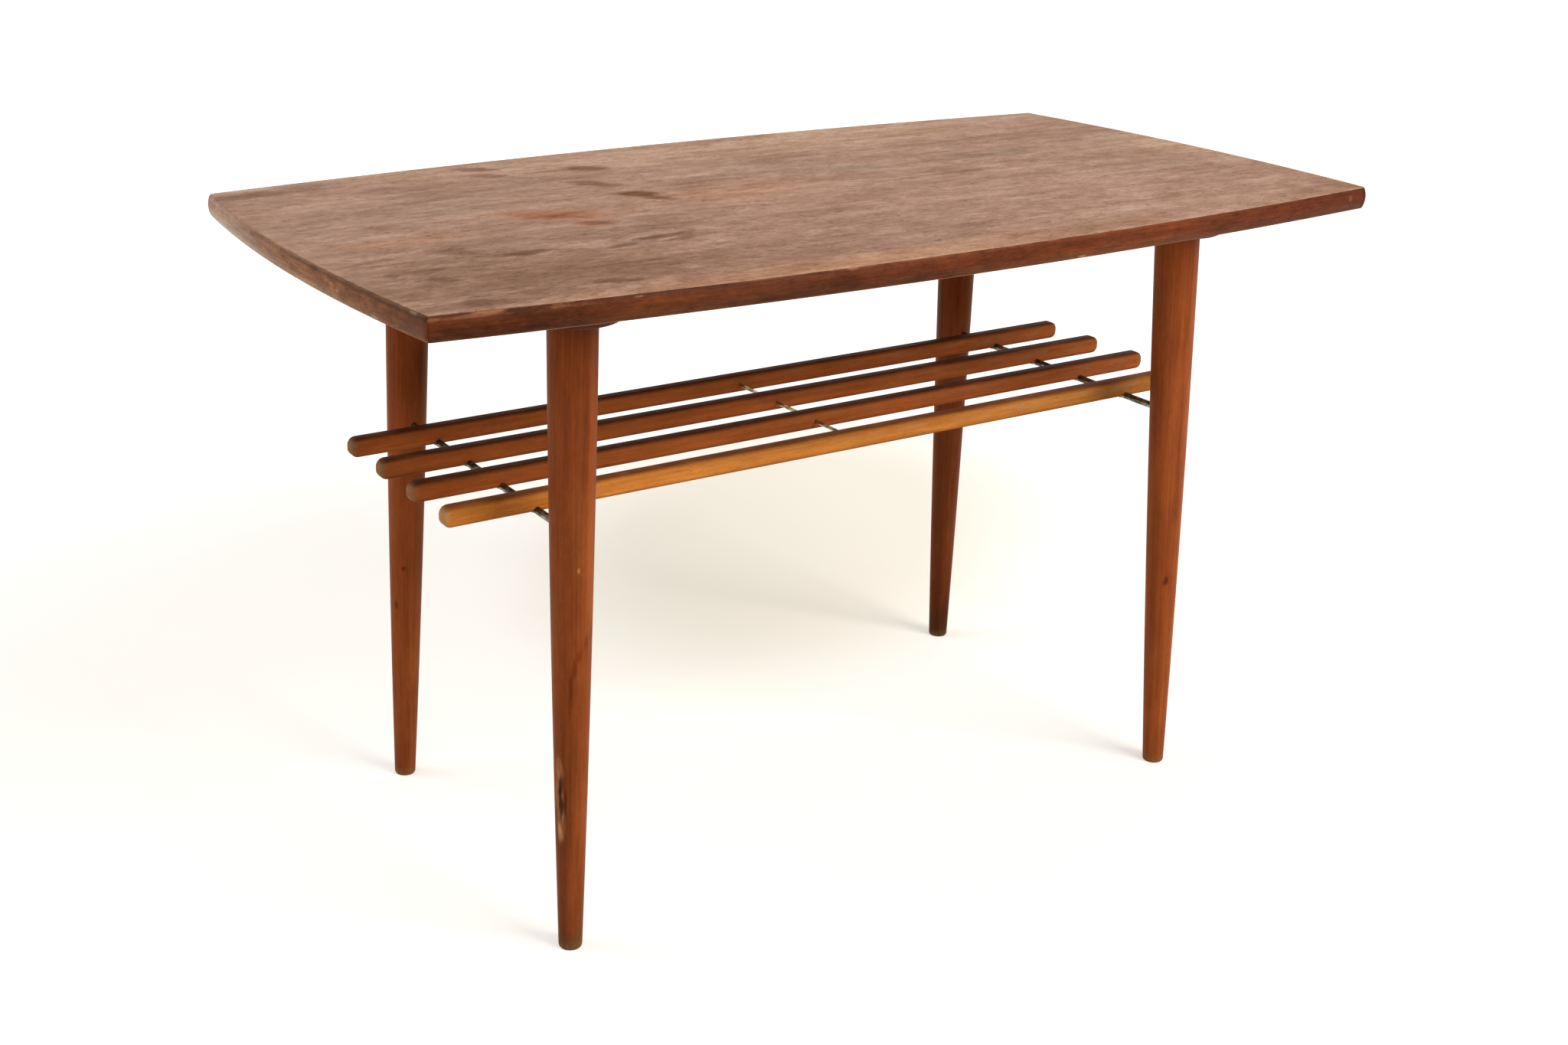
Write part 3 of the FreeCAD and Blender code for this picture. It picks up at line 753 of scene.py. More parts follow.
@dataclass(frozen=True)
class HiddenWoodFinish:
    """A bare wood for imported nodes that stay, read from object coordinates.

    Attributes:
        name: name of the material.
        light: colour of the light wood.
        dark: colour of the dark streaks.
        stretch: how the coordinates are scaled, so that the grain runs along one axis.
        roughness: roughness of the least and most glossy places.
        specular: strength of the mirror-like part.
        relief: depth of the open grain in metres.
    """

    name: str
    light: Colour
    dark: Colour
    stretch: tuple[float, float, float]
    roughness: tuple[float, float] = (0.6, 0.8)
    specular: float = 0.3
    relief: float = 0.0001

    def make(self) -> bpy.types.Material:
        """Builds the material.

        Returns:
            The material.
        """
        bench = Bench(bpy.data.materials.new(self.name))
        scaled = bench.vector("MULTIPLY", bench.place(), self.stretch)
        streaks = bench.cloud(scaled, 0.004, 0.004, 2.0, 4.0, 0.6)
        pores = bench.cloud(scaled, 0.0012, 0.0012, 5.0, 2.0)
        colour = bench.blend(bench.ease(streaks, 0.35, 0.68), self.light, self.dark)
        colour = bench.blend(bench.ease(pores, 0.6, 0.72, 0.0, 0.4), colour, self.dark)
        return bench.shade(colour, bench.spread(streaks, 0.3, 0.7, *self.roughness),
                           bench.relief(streaks, self.relief), {"Specular IOR Level": self.specular})


@dataclass(frozen=True)
class BowedPlan:
    """Plan of the board: a rectangle with four bowed sides and rounded corners, in metres.

    Attributes:
        half_length: half the length at the middle of the ends.
        half_width: half the width at the middle of the long sides.
        side_bow: rise of the long sides.
        end_bow: rise of the ends.
        corner_round: radius of the corners.
        side_steps: stations on half a long side.
        end_steps: stations on half an end.
        corner_steps: stations on half a corner.
    """

    half_length: float
    half_width: float
    side_bow: float = 25.0 * MM
    end_bow: float = 13.5 * MM
    corner_round: float = 5.0 * MM
    side_steps: int = 218
    end_steps: int = 112
    corner_steps: int = 8

    @property
    def corner(self) -> tuple[float, float]:
        """Where the bows of a long side and an end would meet without the round."""
        return self.half_length - self.end_bow, self.half_width - self.side_bow

    @staticmethod
    def bow_radius(half_chord: float, rise: float) -> float:
        """Radius of an arc of that half chord and rise."""
        return (half_chord ** 2 + rise ** 2) / (2.0 * rise)

    def hub(self) -> tuple[float, float, float, float]:
        """Middle of the corner's round and the two angles at which the sides meet it.

        Returns:
            Its x and y, and the angles of the long side from +y and of the end from +x.
        """
        corner_x, corner_y = self.corner
        side = self.bow_radius(corner_x, self.side_bow)
        end = self.bow_radius(corner_y, self.end_bow)
        x, y = corner_x - self.corner_round, corner_y - self.corner_round
        # Each coordinate follows from the other, until they no longer move.
        for _ in range(30):
            x = self.half_length - end + math.sqrt((end - self.corner_round) ** 2 - y ** 2)
            y = self.half_width - side + math.sqrt((side - self.corner_round) ** 2 - x ** 2)
        return x, y, math.atan2(x, y - self.half_width + side), math.atan2(y, x - self.half_length + end)

    @staticmethod
    def arc(x: float, y: float, radius: float, angle: np.ndarray) -> np.ndarray:
        """Points at a radius round x, y, at angles from +y towards +x."""
        return np.stack([x + radius * np.sin(angle), y + radius * np.cos(angle)], 1)

    def half(self, long_side: bool, inset: float) -> np.ndarray:
        """Half of the back side or of the right end, from its middle to the mitre.

        Args:
            long_side: whether it is the back side.
            inset: distance in from the outline.

        Returns:
            The points as x, y.
        """
        along, across = self.corner
        chord, rise, out, steps = along, self.side_bow, self.half_width, self.side_steps
        x, y, meet, lean = self.hub()
        if not long_side:
            chord, rise, out, steps = across, self.end_bow, self.half_length, self.end_steps
            x, y, meet = y, x, lean
        if inset > self.corner_round:
            radius = self.bow_radius(chord - inset, rise)
            turn = np.linspace(0.0, math.asin((chord - inset) / radius), steps + self.corner_steps)
            points = self.arc(0.0, out - inset - radius, radius, turn)
        else:
            radius = self.bow_radius(chord, rise)
            corner = np.linspace(meet, math.pi / 4, self.corner_steps + 1)[1:]
            points = np.concatenate([
                self.arc(0.0, out - radius, radius - inset, np.linspace(0.0, meet, steps)),
                self.arc(x, y, self.corner_round - inset, corner)])
        return points if long_side else points[:, ::-1]

    def side(self, side: Side, inset: float) -> np.ndarray:
        """Points of one side from mitre to mitre, anticlockwise seen from above.

        Args:
            side: which side.
            inset: distance in from the outline.

        Returns:
            The points as x, y.
        """
        half = self.half(side in (Side.FRONT, Side.BACK), inset)
        flip = {Side.FRONT: ((-1, -1), (1, -1)), Side.RIGHT: ((1, -1), (1, 1)),
                Side.BACK: ((1, 1), (-1, 1)), Side.LEFT: ((-1, 1), (-1, -1))}[side]
        return np.concatenate([half[::-1] * flip[0], half[1:] * flip[1]])

    def ring(self, inset: float) -> np.ndarray:
        """Points of the whole outline, anticlockwise, without a repeated point."""
        return np.concatenate([self.side(side, inset)[:-1] for side in Side])


@dataclass(frozen=True)
class BoardEdge:
    """Section through the board's edge: a convex face with a small upper and lower arris, in metres.

    Attributes:
        thickness: thickness of the board.
        bulge: how far the face stands out at mid height.
        arris: radius of the arrises.
    """

    thickness: float
    bulge: float = 2.3 * MM
    arris: float = 1.5 * MM

    @property
    def radius(self) -> float:
        """Radius of the convex face."""
        return (self.thickness ** 2 / 4 + self.bulge ** 2) / (2 * self.bulge)

    @property
    def flat(self) -> float:
        """Distance in from the outline at which the flat faces begin."""
        rise = self.thickness / 2 - self.arris
        return self.radius - math.sqrt((self.radius - self.arris) ** 2 - rise ** 2)

    def inset(self, height: float) -> float:
        """How far in from the outline the edge is at a height above the board's underside.

        Args:
            height: height in metres.

        Returns:
            The distance in metres.
        """
        rise = abs(height - self.thickness / 2)
        hub = self.thickness / 2 - self.arris
        bend = hub * self.radius / (self.radius - self.arris)
        if rise <= bend:
            return self.radius - math.sqrt(self.radius ** 2 - rise ** 2)
        return self.flat - math.sqrt(max(self.arris ** 2 - (rise - hub) ** 2, 0.0))


@dataclass(frozen=True)
class Nick:
    """A small dent or chip in the board's edge, in millimetres.

    Attributes:
        side: which side it is on.
        place: x or y of its middle.
        height: height of its middle above the board's underside.
        length: length along the edge.
        tall: height.
        depth: depth at its middle.
    """

    side: Side
    place: float
    height: float
    length: float
    tall: float
    depth: float

    def reach(self, along: np.ndarray | float, height: np.ndarray | float, half: float) -> np.ndarray:
        """Distance from its middle, where 1 is half times its length or its height.

        Args:
            along: place along the edge in metres.
            height: height above the underside in metres.
            half: share of the length and height that counts as 1.

        Returns:
            The distance at each place.
        """
        return np.hypot((along / MM - self.place) / (self.length * half),
                        (height / MM - self.height) / (self.tall * half))


NICKS = (
    Nick(Side.FRONT, -287.0, 17.4, 7.0, 3.4, 0.9),
    Nick(Side.FRONT, 415.0, 11.0, 3.0, 3.0, 0.5),
    Nick(Side.FRONT, -118.0, 17.8, 9.0, 2.4, 0.4),
    Nick(Side.FRONT, 96.0, 1.4, 8.0, 2.6, 0.5),
    Nick(Side.FRONT, -392.0, 17.6, 26.0, 2.0, 0.35),
    Nick(Side.LEFT, -96.0, 9.0, 5.0, 3.0, 0.5),
    Nick(Side.LEFT, -78.0, 7.5, 4.0, 2.6, 0.4),
    Nick(Side.LEFT, -150.0, 2.0, 12.0, 3.0, 0.5),
    Nick(Side.LEFT, 60.0, 2.2, 10.0, 3.0, 0.5),
    Nick(Side.LEFT, -205.0, 17.2, 8.0, 2.6, 0.5),
    Nick(Side.RIGHT, 40.0, 17.2, 9.0, 2.6, 0.5),
    Nick(Side.RIGHT, -130.0, 2.0, 10.0, 3.0, 0.5),
    Nick(Side.BACK, -210.0, 17.4, 9.0, 2.6, 0.6),
    Nick(Side.BACK, 155.0, 2.0, 12.0, 3.0, 0.5),
)


# Where wear, dirt and the painted shade line of the rim go from none to full, in metres: x on the long sides,
# y on the ends.
FRONT_SPARED, LEFT_SPARED = (120 * MM, 230 * MM), (-40 * MM, -110 * MM)
CORNER_LIGHT, LONG_SHADE_LINE, LEFT_SHADE_LINE = (-290 * MM, -350 * MM), (-190 * MM, -250 * MM), (30 * MM, -20 * MM)
RIM_FRONT_DIRT, RIM_LEFT_DIRT = (-345 * MM, -375 * MM), (-50 * MM, -90 * MM)
# Height in millimetres of each side's dark line, painted shade below the upper arris at the veneer joint.
DARK_LINE = {Side.FRONT: 17.6, Side.RIGHT: 18.3, Side.BACK: 18.3, Side.LEFT: 16.2}


@dataclass
class Board:
    """The board: core, face veneer, balancing veneer and four mitred lippings.

    Attributes:
        plan: its plan.
        edge: the section through its edge.
        underside: height of its underside.
        veneer: thickness of the veneers.
        lipping_width: width of the lippings.
        arris_wear: mean depth to which the arrises are rubbed.
        ripple: mean depth of the hand-worked unevenness.
        joint: depth of the fine groove at the mitres.
        arris_band: shares of half the thickness between which the wear of an arris sets in.
        light_line: height and half the thickness of the light line near the left corners.
        rim: distances inside the arris at which the face veneer's rim changes.
        ring_wear: wear of each ring of a veneer, from its inner rim out and round the arris.
        face_steps: steps up the face of a lipping.
        veneer_steps: rings on the edge of a veneer.
    """

    plan: BowedPlan
    edge: BoardEdge
    underside: float
    veneer: float
    lipping_width: float = 12.0 * MM
    arris_wear: float = 0.16 * MM
    ripple: float = 0.03 * MM
    joint: float = 0.18 * MM
    arris_band: tuple[float, float] = (0.80, 0.93)
    light_line: tuple[float, float] = (15.9 * MM, 1.1 * MM)
    rim: tuple[float, ...] = (CAP_INSET, 2.4 * MM, 7.0 * MM)
    ring_wear: tuple[float, ...] = (0.0, 0.9, 1.0, 1.0, 0.9, 0.8, 0.7, 0.45, 0.30, 0.0)
    face_steps: int = 16
    veneer_steps: int = 6

    @classmethod
    def from_frame(cls) -> "Board":
        """Takes the board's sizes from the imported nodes."""
        low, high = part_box("top_veneer")
        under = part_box("under_veneer")[0]
        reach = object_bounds()[1]
        return cls(BowedPlan(reach.x, reach.y), BoardEdge(high.z - under.z), under.z, high.z - low.z)

    def rub(self, side: Side | None, x: float, y: float, height: float) -> float:
        """Depth of wear at one point of the edge.

        Args:
            side: side it is on, or None for a veneer's ring.
            x: x of the point.
            y: y of the point.
            height: height above the underside.

        Returns:
            How far the point moves in, in metres.
        """
        rise = abs(height - self.edge.thickness / 2) / (self.edge.thickness / 2)
        arris = float(smooth_step(0.72, 0.95, rise))
        broad = vary(x, y, rate=34, seed=3.1 + round(height, 2) * 50)
        fine = vary(x, y, rate=160, seed=7.7)
        wave = 0.5 + 0.5 * broad + 0.35 * fine
        depth = self.arris_wear * arris * max(wave, 0.0) * 1.6
        depth += self.ripple * (1.0 + vary(x, y, rate=25, seed=height * 260))
        for nick in NICKS:
            if nick.side is side if side else self.near(nick.side, x, y):
                along = x if nick.side in (Side.FRONT, Side.BACK) else y
                share = float(smooth_step(1.15, 0.25, nick.reach(along, height, 0.5)))
                depth += nick.depth * MM * share
        return depth

    def near(self, side: Side, x: float, y: float) -> bool:
        """Says whether a point of the outline belongs to a side.

        Args:
            side: the side.
            x: x of the point.
            y: y of the point.

        Returns:
            True where it does.
        """
        reach = (abs(x) - self.plan.half_length) - (abs(y) - self.plan.half_width)
        if side in (Side.LEFT, Side.RIGHT):
            return reach > 0 and (x > 0) == (side is Side.RIGHT)
        return reach <= 0 and (y > 0) == (side is Side.BACK)

    def make_lipping(self, side: Side, finish: bpy.types.Material) -> bpy.types.Object:
        """One lipping from mitre to mitre.

        Args:
            side: which side.
            finish: its material.

        Returns:
            The piece.
        """
        low, high = self.veneer, self.edge.thickness - self.veneer
        turns = np.linspace(0.0, math.pi, self.face_steps + 1)
        face = [low + (high - low) * (0.5 - 0.5 * math.cos(turn)) for turn in turns]
        rows = [self.worn_line(self.plan.side(side, self.edge.inset(height)), side, height)
                for height in face]
        inner = self.plan.side(side, self.lipping_width)
        rows += [at_height(inner, self.underside + height) for height in (high, low)]
        girth = np.array([*face, high, low])
        rings = np.stack(rows, axis=1)
        name = f"lipping_{side.value}"
        piece = make_piece(name + "_strip", *loft(rings))
        middle = self.plan.side(side, 0.0)
        run = np.concatenate([[0.0], np.cumsum(np.linalg.norm(np.diff(middle, axis=0), axis=1))])
        run -= run[-1] / 2
        if side in (Side.BACK, Side.LEFT):
            run = -run
        depth = np.array([self.edge.inset(height) for height in face] + [self.lipping_width] * 2)
        grain = np.stack(np.broadcast_arrays(run[:, None], depth[None, :], girth[None, :]), axis=2)
        wear, dirt = self.lipping_wear(side, middle, girth)
        for nick in NICKS:
            if nick.side is side:
                wear = wear + 2.0 * smooth_step(1.2, 0.4, nick.reach(run[:, None], girth[None, :], 0.6))
        dress_wood(piece, finish, list(Side).index(side) + LIPPING_BOARD, grain, wear, dirt)
        hand_over(piece, "lipping", name)
        return piece

    def rim_wear(self, x: np.ndarray, y: np.ndarray) -> np.ndarray:
        """Share of the upper arris's wear: less on the front's right and near the front on the left end.

        Args:
            x: x of the points.
            y: y of the points.

        Returns:
            The share from 0 to 1.
        """
        front = (y < 0) * smooth_step(*FRONT_SPARED, x)
        left = (x < -0.9 * self.plan.half_length) * smooth_step(*LEFT_SPARED, y)
        back = smooth_step(0.55 * self.plan.half_width, 0.70 * self.plan.half_width, y)
        right = smooth_step(0.93 * self.plan.half_length, 0.97 * self.plan.half_length, x)
        return (0.85 - 0.5 * front - 0.45 * left) * (1 - 0.9 * np.maximum(back, right))

    def lipping_wear(self, side: Side, line: np.ndarray,
                     height: np.ndarray) -> tuple[np.ndarray, np.ndarray]:
        """Wear and painted shade of a lipping: rubbed arrises, and below the upper one a dark line of painted
        shade and a light line.

        Args:
            side: which side.
            line: its stations as x, y.
            height: heights of its rows above the underside, with the two inner rows last.

        Returns:
            The wear and the painted shade line, one row for each station.
        """
        rise = (height - self.edge.thickness / 2) / (self.edge.thickness / 2)
        upper, lower = smooth_step(*self.arris_band, rise), smooth_step(*self.arris_band, -rise)
        x, y = line[:, 0], line[:, 1]
        wave = np.array([vary(a, b, rate=30, seed=5.5) for a, b in line])
        blotch = np.array([0.5 + 0.5 * vary(a, b, rate=70, seed=9.5) for a, b in line])
        long_side = side in (Side.FRONT, Side.BACK)
        away = side in (Side.BACK, Side.RIGHT)
        # The dark line is painted shade below the upper arris, at the veneer joint.
        level = DARK_LINE[side] * MM + (0.2 if away else 0.9) * MM * wave
        reach = (1.5 if side is Side.LEFT else 0.75) * MM
        dark = np.exp(-((height[None, :] - level[:, None]) / reach) ** 2)
        light = np.exp(-((height - self.light_line[0]) / self.light_line[1]) ** 2)
        for row in (upper, lower, light, dark.T):
            row[-2:] = 0.0
        wear = self.rim_wear(x, y)[:, None] * upper + (0.25 if long_side else 0.8) * lower
        if long_side:
            corner = smooth_step(*CORNER_LIGHT, x)
            wear = wear + corner[:, None] * light
            dirt = (0.7 if away else 0.25) + 0.65 * smooth_step(*LONG_SHADE_LINE, x) - 0.5 * corner
        else:
            dirt = 0.35 + 0.55 * blotch
            if side is Side.LEFT:
                dirt = dirt * smooth_step(*LEFT_SHADE_LINE, y)
        return wear, dirt[:, None] * dark

    def worn_line(self, line: np.ndarray, side: Side, height: float) -> np.ndarray:
        """Moves a line of the edge in by its wear and by the groove at its two mitres.

        Args:
            line: points as x, y.
            side: side it is on.
            height: height above the underside.

        Returns:
            The points as x, y, z.
        """
        depth = np.array([self.rub(side, x, y, height) for x, y in line])
        depth[[0, -1]] += self.joint
        moved = line + inward(np.gradient(line, axis=0)) * depth[:, None]
        for end in (0, -1):
            moved[end] = line[end] * (1.0 - depth[end] / np.linalg.norm(line[end]))
        return at_height(moved, self.underside + height)

    def make_veneer(self, name: str, node: str, slot: str, upper: bool,
                    finish: bpy.types.Material) -> bpy.types.Object:
        """A veneer with its share of the arris.

        Args:
            name: name of the piece.
            node: node that it replaces.
            slot: its material slot.
            upper: whether it is the face veneer.
            finish: its material.

        Returns:
            The piece.
        """
        thick = self.edge.thickness
        rows = []
        for turn in np.linspace(0.0, 1.0, self.veneer_steps):
            height = thick - self.veneer * (1.0 - turn)
            line = self.plan.ring(self.edge.inset(height))
            step = np.roll(line, -1, axis=0) - np.roll(line, 1, axis=0)
            level = height if upper else thick - height
            depth = np.array([self.rub(None, x, y, level) for x, y in line])
            rows.append(at_height(line + inward(step) * depth[:, None], self.underside + level))
        level = thick if upper else 0.0
        rows += [at_height(self.plan.ring(self.edge.flat + inset), self.underside + level)
                 for inset in self.rim]
        rows.insert(0, at_height(self.plan.ring(self.edge.flat + CAP_INSET), rows[0][0, 2]))
        rings = np.stack(rows)
        piece = make_piece(name, *loft(rings))
        x, y = rings[:, :, 0], rings[:, :, 1]
        wear = np.array(self.ring_wear)[:, None] * self.rim_wear(x, y)
        dirt = np.zeros(x.shape)
        dirt[1:5] = (0.5 * smooth_step(*RIM_FRONT_DIRT, x) * (y < 0)
                     + 0.6 * smooth_step(*RIM_LEFT_DIRT, y) * (x < -0.9 * self.plan.half_length))[1:5]
        board = VENEER_BOARD + (0.0 if upper else 1.0)
        dress_wood(piece, finish, board, rings, wear, np.clip(dirt, 0.0, 0.7))
        hand_over(piece, slot, node)
        return piece

    def make(self, finishes: dict[str, bpy.types.Material]) -> None:
        """Makes the veneers and lippings and dresses the core.

        Args:
            finishes: materials by name.
        """
        self.make_veneer("face_veneer_sheet", "top_veneer", "face_veneer", True, finishes["face"])
        self.make_veneer("under_veneer_sheet", "under_veneer", "under_veneer", False, finishes["under"])
        for side in Side:
            kind = "lipping" if side in (Side.FRONT, Side.BACK) else "lipping_end"
            self.make_lipping(side, finishes[kind])
        dress_node("top_core", finishes["core"])


@dataclass
class Battens:
    """The two cross battens below the board, with half-round ends and a softened lower arris.

    Attributes:
        arris: radius of the lower arris.
        arris_steps: rings on the lower arris.
        turn_steps: points on each half-round end.
    """

    arris: float = 1.4 * MM
    arris_steps: int = 7
    turn_steps: int = 40

    def make_one(self, name: str, board: float, finish: bpy.types.Material) -> None:
        """Makes one batten inside the box of its node.

        Args:
            name: name of the node.
            board: number that varies its grain.
            finish: its material.
        """
        low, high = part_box(name)
        middle_x, half_x = (low.x + high.x) / 2, (high.x - low.x) / 2
        straight = (high.y - low.y) / 2 - half_x
        levels = [(self.arris + CAP_INSET, low.z)]
        levels += [(inset, low.z + rise) for inset, rise in rounded(self.arris, self.arris_steps)]
        levels += [(0.0, (low.z + high.z) / 2), (0.0, high.z), (CAP_INSET, high.z)]
        angle = np.linspace(0.0, math.pi, self.turn_steps)
        rings = []
        for inset, z in levels:
            radius = half_x - inset
            back = np.stack([middle_x + radius * np.cos(angle), straight + radius * np.sin(angle)], 1)
            front = np.stack([middle_x - radius * np.cos(angle), -straight - radius * np.sin(angle)], 1)
            rings.append(at_height(np.concatenate([back, front]), z))
        rings = np.stack(rings)
        piece = make_piece(name + "_bar", *loft(rings))
        wear = np.repeat([0.0] + [0.8] * self.arris_steps + [0.1, 0.0, 0.0], rings.shape[1])
        dirt = np.repeat([0.1] * (self.arris_steps + 2) + [0.5] * 2, rings.shape[1])
        dress_wood(piece, finish, board, rings[:, :, [1, 0, 2]], wear, dirt)
        hand_over(piece, "batten", name)

    def make(self, finish: bpy.types.Material) -> None:
        """Makes both battens.

        Args:
            finish: their material.
        """
        for index, name in enumerate(("batten_left", "batten_right")):
            self.make_one(name, BATTEN_BOARD + index, finish)


@dataclass
class TurnedLeg:
    """One turned leg with its tenon.

    Attributes:
        corner: corner at which it stands.
        shoulder: height of its shoulder.
        tip: height of the tenon's end.
        shoulder_x: x of the axis at the shoulder.
        shoulder_y: y of the axis at the shoulder.
        splay_x: how far the foot stands out along x.
        splay_y: how far the foot stands out along y.
        foot_radius: radius above the rounded foot.
        top_radius: radius at the shoulder.
        belly: how far the side swells past a straight taper.
        foot_round: radius of the foot's rim.
        waste: how far the turning runs past its level ends.
        tenon_radius: radius of the tenon.
        slack: how far the distance up the axis to a height differs round the leg.
        neck: length below the shoulder over which the rings turn level.
        foot_inset: how far in the flat of the foot starts, as a share of its radius.
        foot_steps: rings on the rounded foot.
        side_steps: rings on the side.
        turns: points round the leg.
    """

    corner: Corner
    shoulder: float
    tip: float
    shoulder_x: float
    shoulder_y: float
    splay_x: float = 19.0 * MM
    splay_y: float = 17.5 * MM
    foot_radius: float = 9.5 * MM
    top_radius: float = 19.0 * MM
    belly: float = 1.2 * MM
    foot_round: float = 4.0 * MM
    waste: float = 1.5 * MM
    tenon_radius: float = 11.0 * MM
    slack: float = 1.5 * MM
    neck: float = 6.0 * MM
    foot_inset: float = 0.12
    foot_steps: int = 6
    side_steps: int = 72
    turns: int = 96

    def __post_init__(self) -> None:
        """Sets up the axis and the two directions across it."""
        sign_x, sign_y = self.corner.value
        foot_x, foot_y = self.shoulder_x + self.splay_x, self.shoulder_y + self.splay_y
        self.foot = Vector((sign_x * foot_x, sign_y * foot_y, 0))
        top = Vector((sign_x * self.shoulder_x, sign_y * self.shoulder_y, self.shoulder))
        self.length = (top - self.foot).length
        self.axis = (top - self.foot).normalized()
        self.across = self.axis.cross(Vector((0, 1, 0))).normalized()
        self.deep = self.axis.cross(self.across).normalized()

    def radius(self, along: float) -> float:
        """Radius of the turning at a distance up the axis.

        Args:
            along: distance from the foot point in metres.

        Returns:
            The radius in metres.
        """
        start = self.foot_round - self.waste
        if along < start:
            drop = min(start - along, self.foot_round)
            return self.foot_radius - self.foot_round + math.sqrt(self.foot_round ** 2 - drop ** 2)
        finish = self.length + self.waste
        t = (along - start) / (finish - start)
        swell = (self.foot_radius + self.top_radius) / 2 + 2 * self.belly
        return (1 - t) ** 2 * self.foot_radius + 2 * t * (1 - t) * swell + t * t * self.top_radius

    def point(self, along: float, radius: float, turn: float) -> Vector:
        """A point at a distance up the axis, a radius and an angle round it."""
        return (self.foot + self.axis * along
                + (self.across * math.cos(turn) + self.deep * math.sin(turn)) * radius)

    def level(self, height: float, turn: float, radius: Callable[[float], float]) -> float:
        """Distance up the axis at which the surface reaches a height.

        Args:
            height: the height in metres.
            turn: angle round the axis.
            radius: radius at a distance up the axis.

        Returns:
            The distance in metres.
        """
        low = max(height / self.axis.z - self.slack - 1.0 * MM, -self.waste + 1e-6)
        high = low + self.slack + 4.0 * MM
        # Each round halves the range in which the height is reached.
        for _ in range(40):
            middle = (low + high) / 2
            if self.point(middle, radius(middle), turn).z < height:
                low = middle
            else:
                high = middle
        return (low + high) / 2

    def ring(self, places: Sequence[float], turns: Sequence[float]) -> list[Vector]:
        """Points of the turning, at a distance up the axis for each angle."""
        return [self.point(along, self.radius(along), turn) for along, turn in zip(places, turns)]

    def rings(self) -> np.ndarray:
        """The rings of the leg from its foot to the end of its tenon.

        Returns:
            The rings, the first and last ones level.
        """
        turns = [2 * math.pi * k / self.turns for k in range(self.turns)]
        foot = [self.level(0.0, turn, self.radius) for turn in turns]
        collar = [self.level(self.shoulder, turn, self.radius) for turn in turns]
        near, far = self.foot_round - self.waste, self.length - self.neck
        sole = self.ring(foot, turns)
        hub = sum(sole, Vector()) / len(sole)
        rows = [[point.lerp(hub, self.foot_inset) for point in sole]]
        for share in np.linspace(0.0, 1.0, self.foot_steps + 1)[:-1]:
            rows.append(self.ring([along + (near - along) * share for along in foot], turns))
        for along in np.linspace(near, far, self.side_steps):
            rows.append(self.ring([along] * len(turns), turns))
        for share in (0.5, 1.0):
            rows.append(self.ring([far + (along - far) * share for along in collar], turns))
        for height in (self.shoulder, self.tip):
            places = [self.level(height, turn, lambda _: self.tenon_radius) for turn in turns]
            rows.append([self.point(along, self.tenon_radius, turn) for along, turn in zip(places, turns)])
        return np.array([[tuple(point) for point in row] for row in rows])

    def make(self, finish: bpy.types.Material, board: float) -> None:
        """Makes the leg.

        Args:
            finish: its material.
            board: number that varies its grain.
        """
        rings = self.rings()
        name = f"leg_{self.corner.name.lower()}"
        piece = make_piece(name + "_turning", *loft(rings))
        place = rings.reshape(-1, 3) - np.array(self.foot)
        own = np.stack([place @ np.array(way) for way in (self.axis, self.across, self.deep)], 1)
        along = own[:, 0]
        # Painted shade at the top of the leg below the board, and dirt near the foot.
        board_shade = smooth_step(self.length - 16 * MM, self.length - 1 * MM, along)
        dirt = 0.45 * board_shade + 0.25 * smooth_step(60 * MM, 0.0, along)
        dress_wood(piece, finish, board, own, 0.9 * smooth_step(9 * MM, 2 * MM, along), dirt)
        hand_over(piece, "leg", name)


@dataclass
class Legs:
    """The four legs, each in its own wood, the back two darkened by painted shade.

    Attributes:
        finishes: name of each leg's finish.
    """

    finishes: dict[Corner, str] = field(default_factory=lambda: {
        Corner.FRONT_LEFT: "leg_scarred", Corner.FRONT_RIGHT: "leg",
        Corner.BACK_LEFT: "leg_back", Corner.BACK_RIGHT: "leg_dark"})

    def make(self, finishes: dict[str, bpy.types.Material]) -> None:
        """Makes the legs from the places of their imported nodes.

        Args:
            finishes: materials by name.
        """
        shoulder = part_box("batten_left")[0].z
        for index, corner in enumerate(Corner):
            low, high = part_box(f"leg_{corner.name.lower()}")
            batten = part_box("batten_left" if corner.value[0] < 0 else "batten_right")
            axis_x = abs(batten[0].x + batten[1].x) / 2
            reach = (batten[1].y - batten[0].y) / 2 - (batten[1].x - batten[0].x) / 2
            leg = TurnedLeg(corner, shoulder, high.z, axis_x, reach)
            leg.make(finishes[self.finishes[corner]], LEG_BOARD + index)
        LOG.info("legs stand %.1f mm high to the shoulder", shoulder / MM)


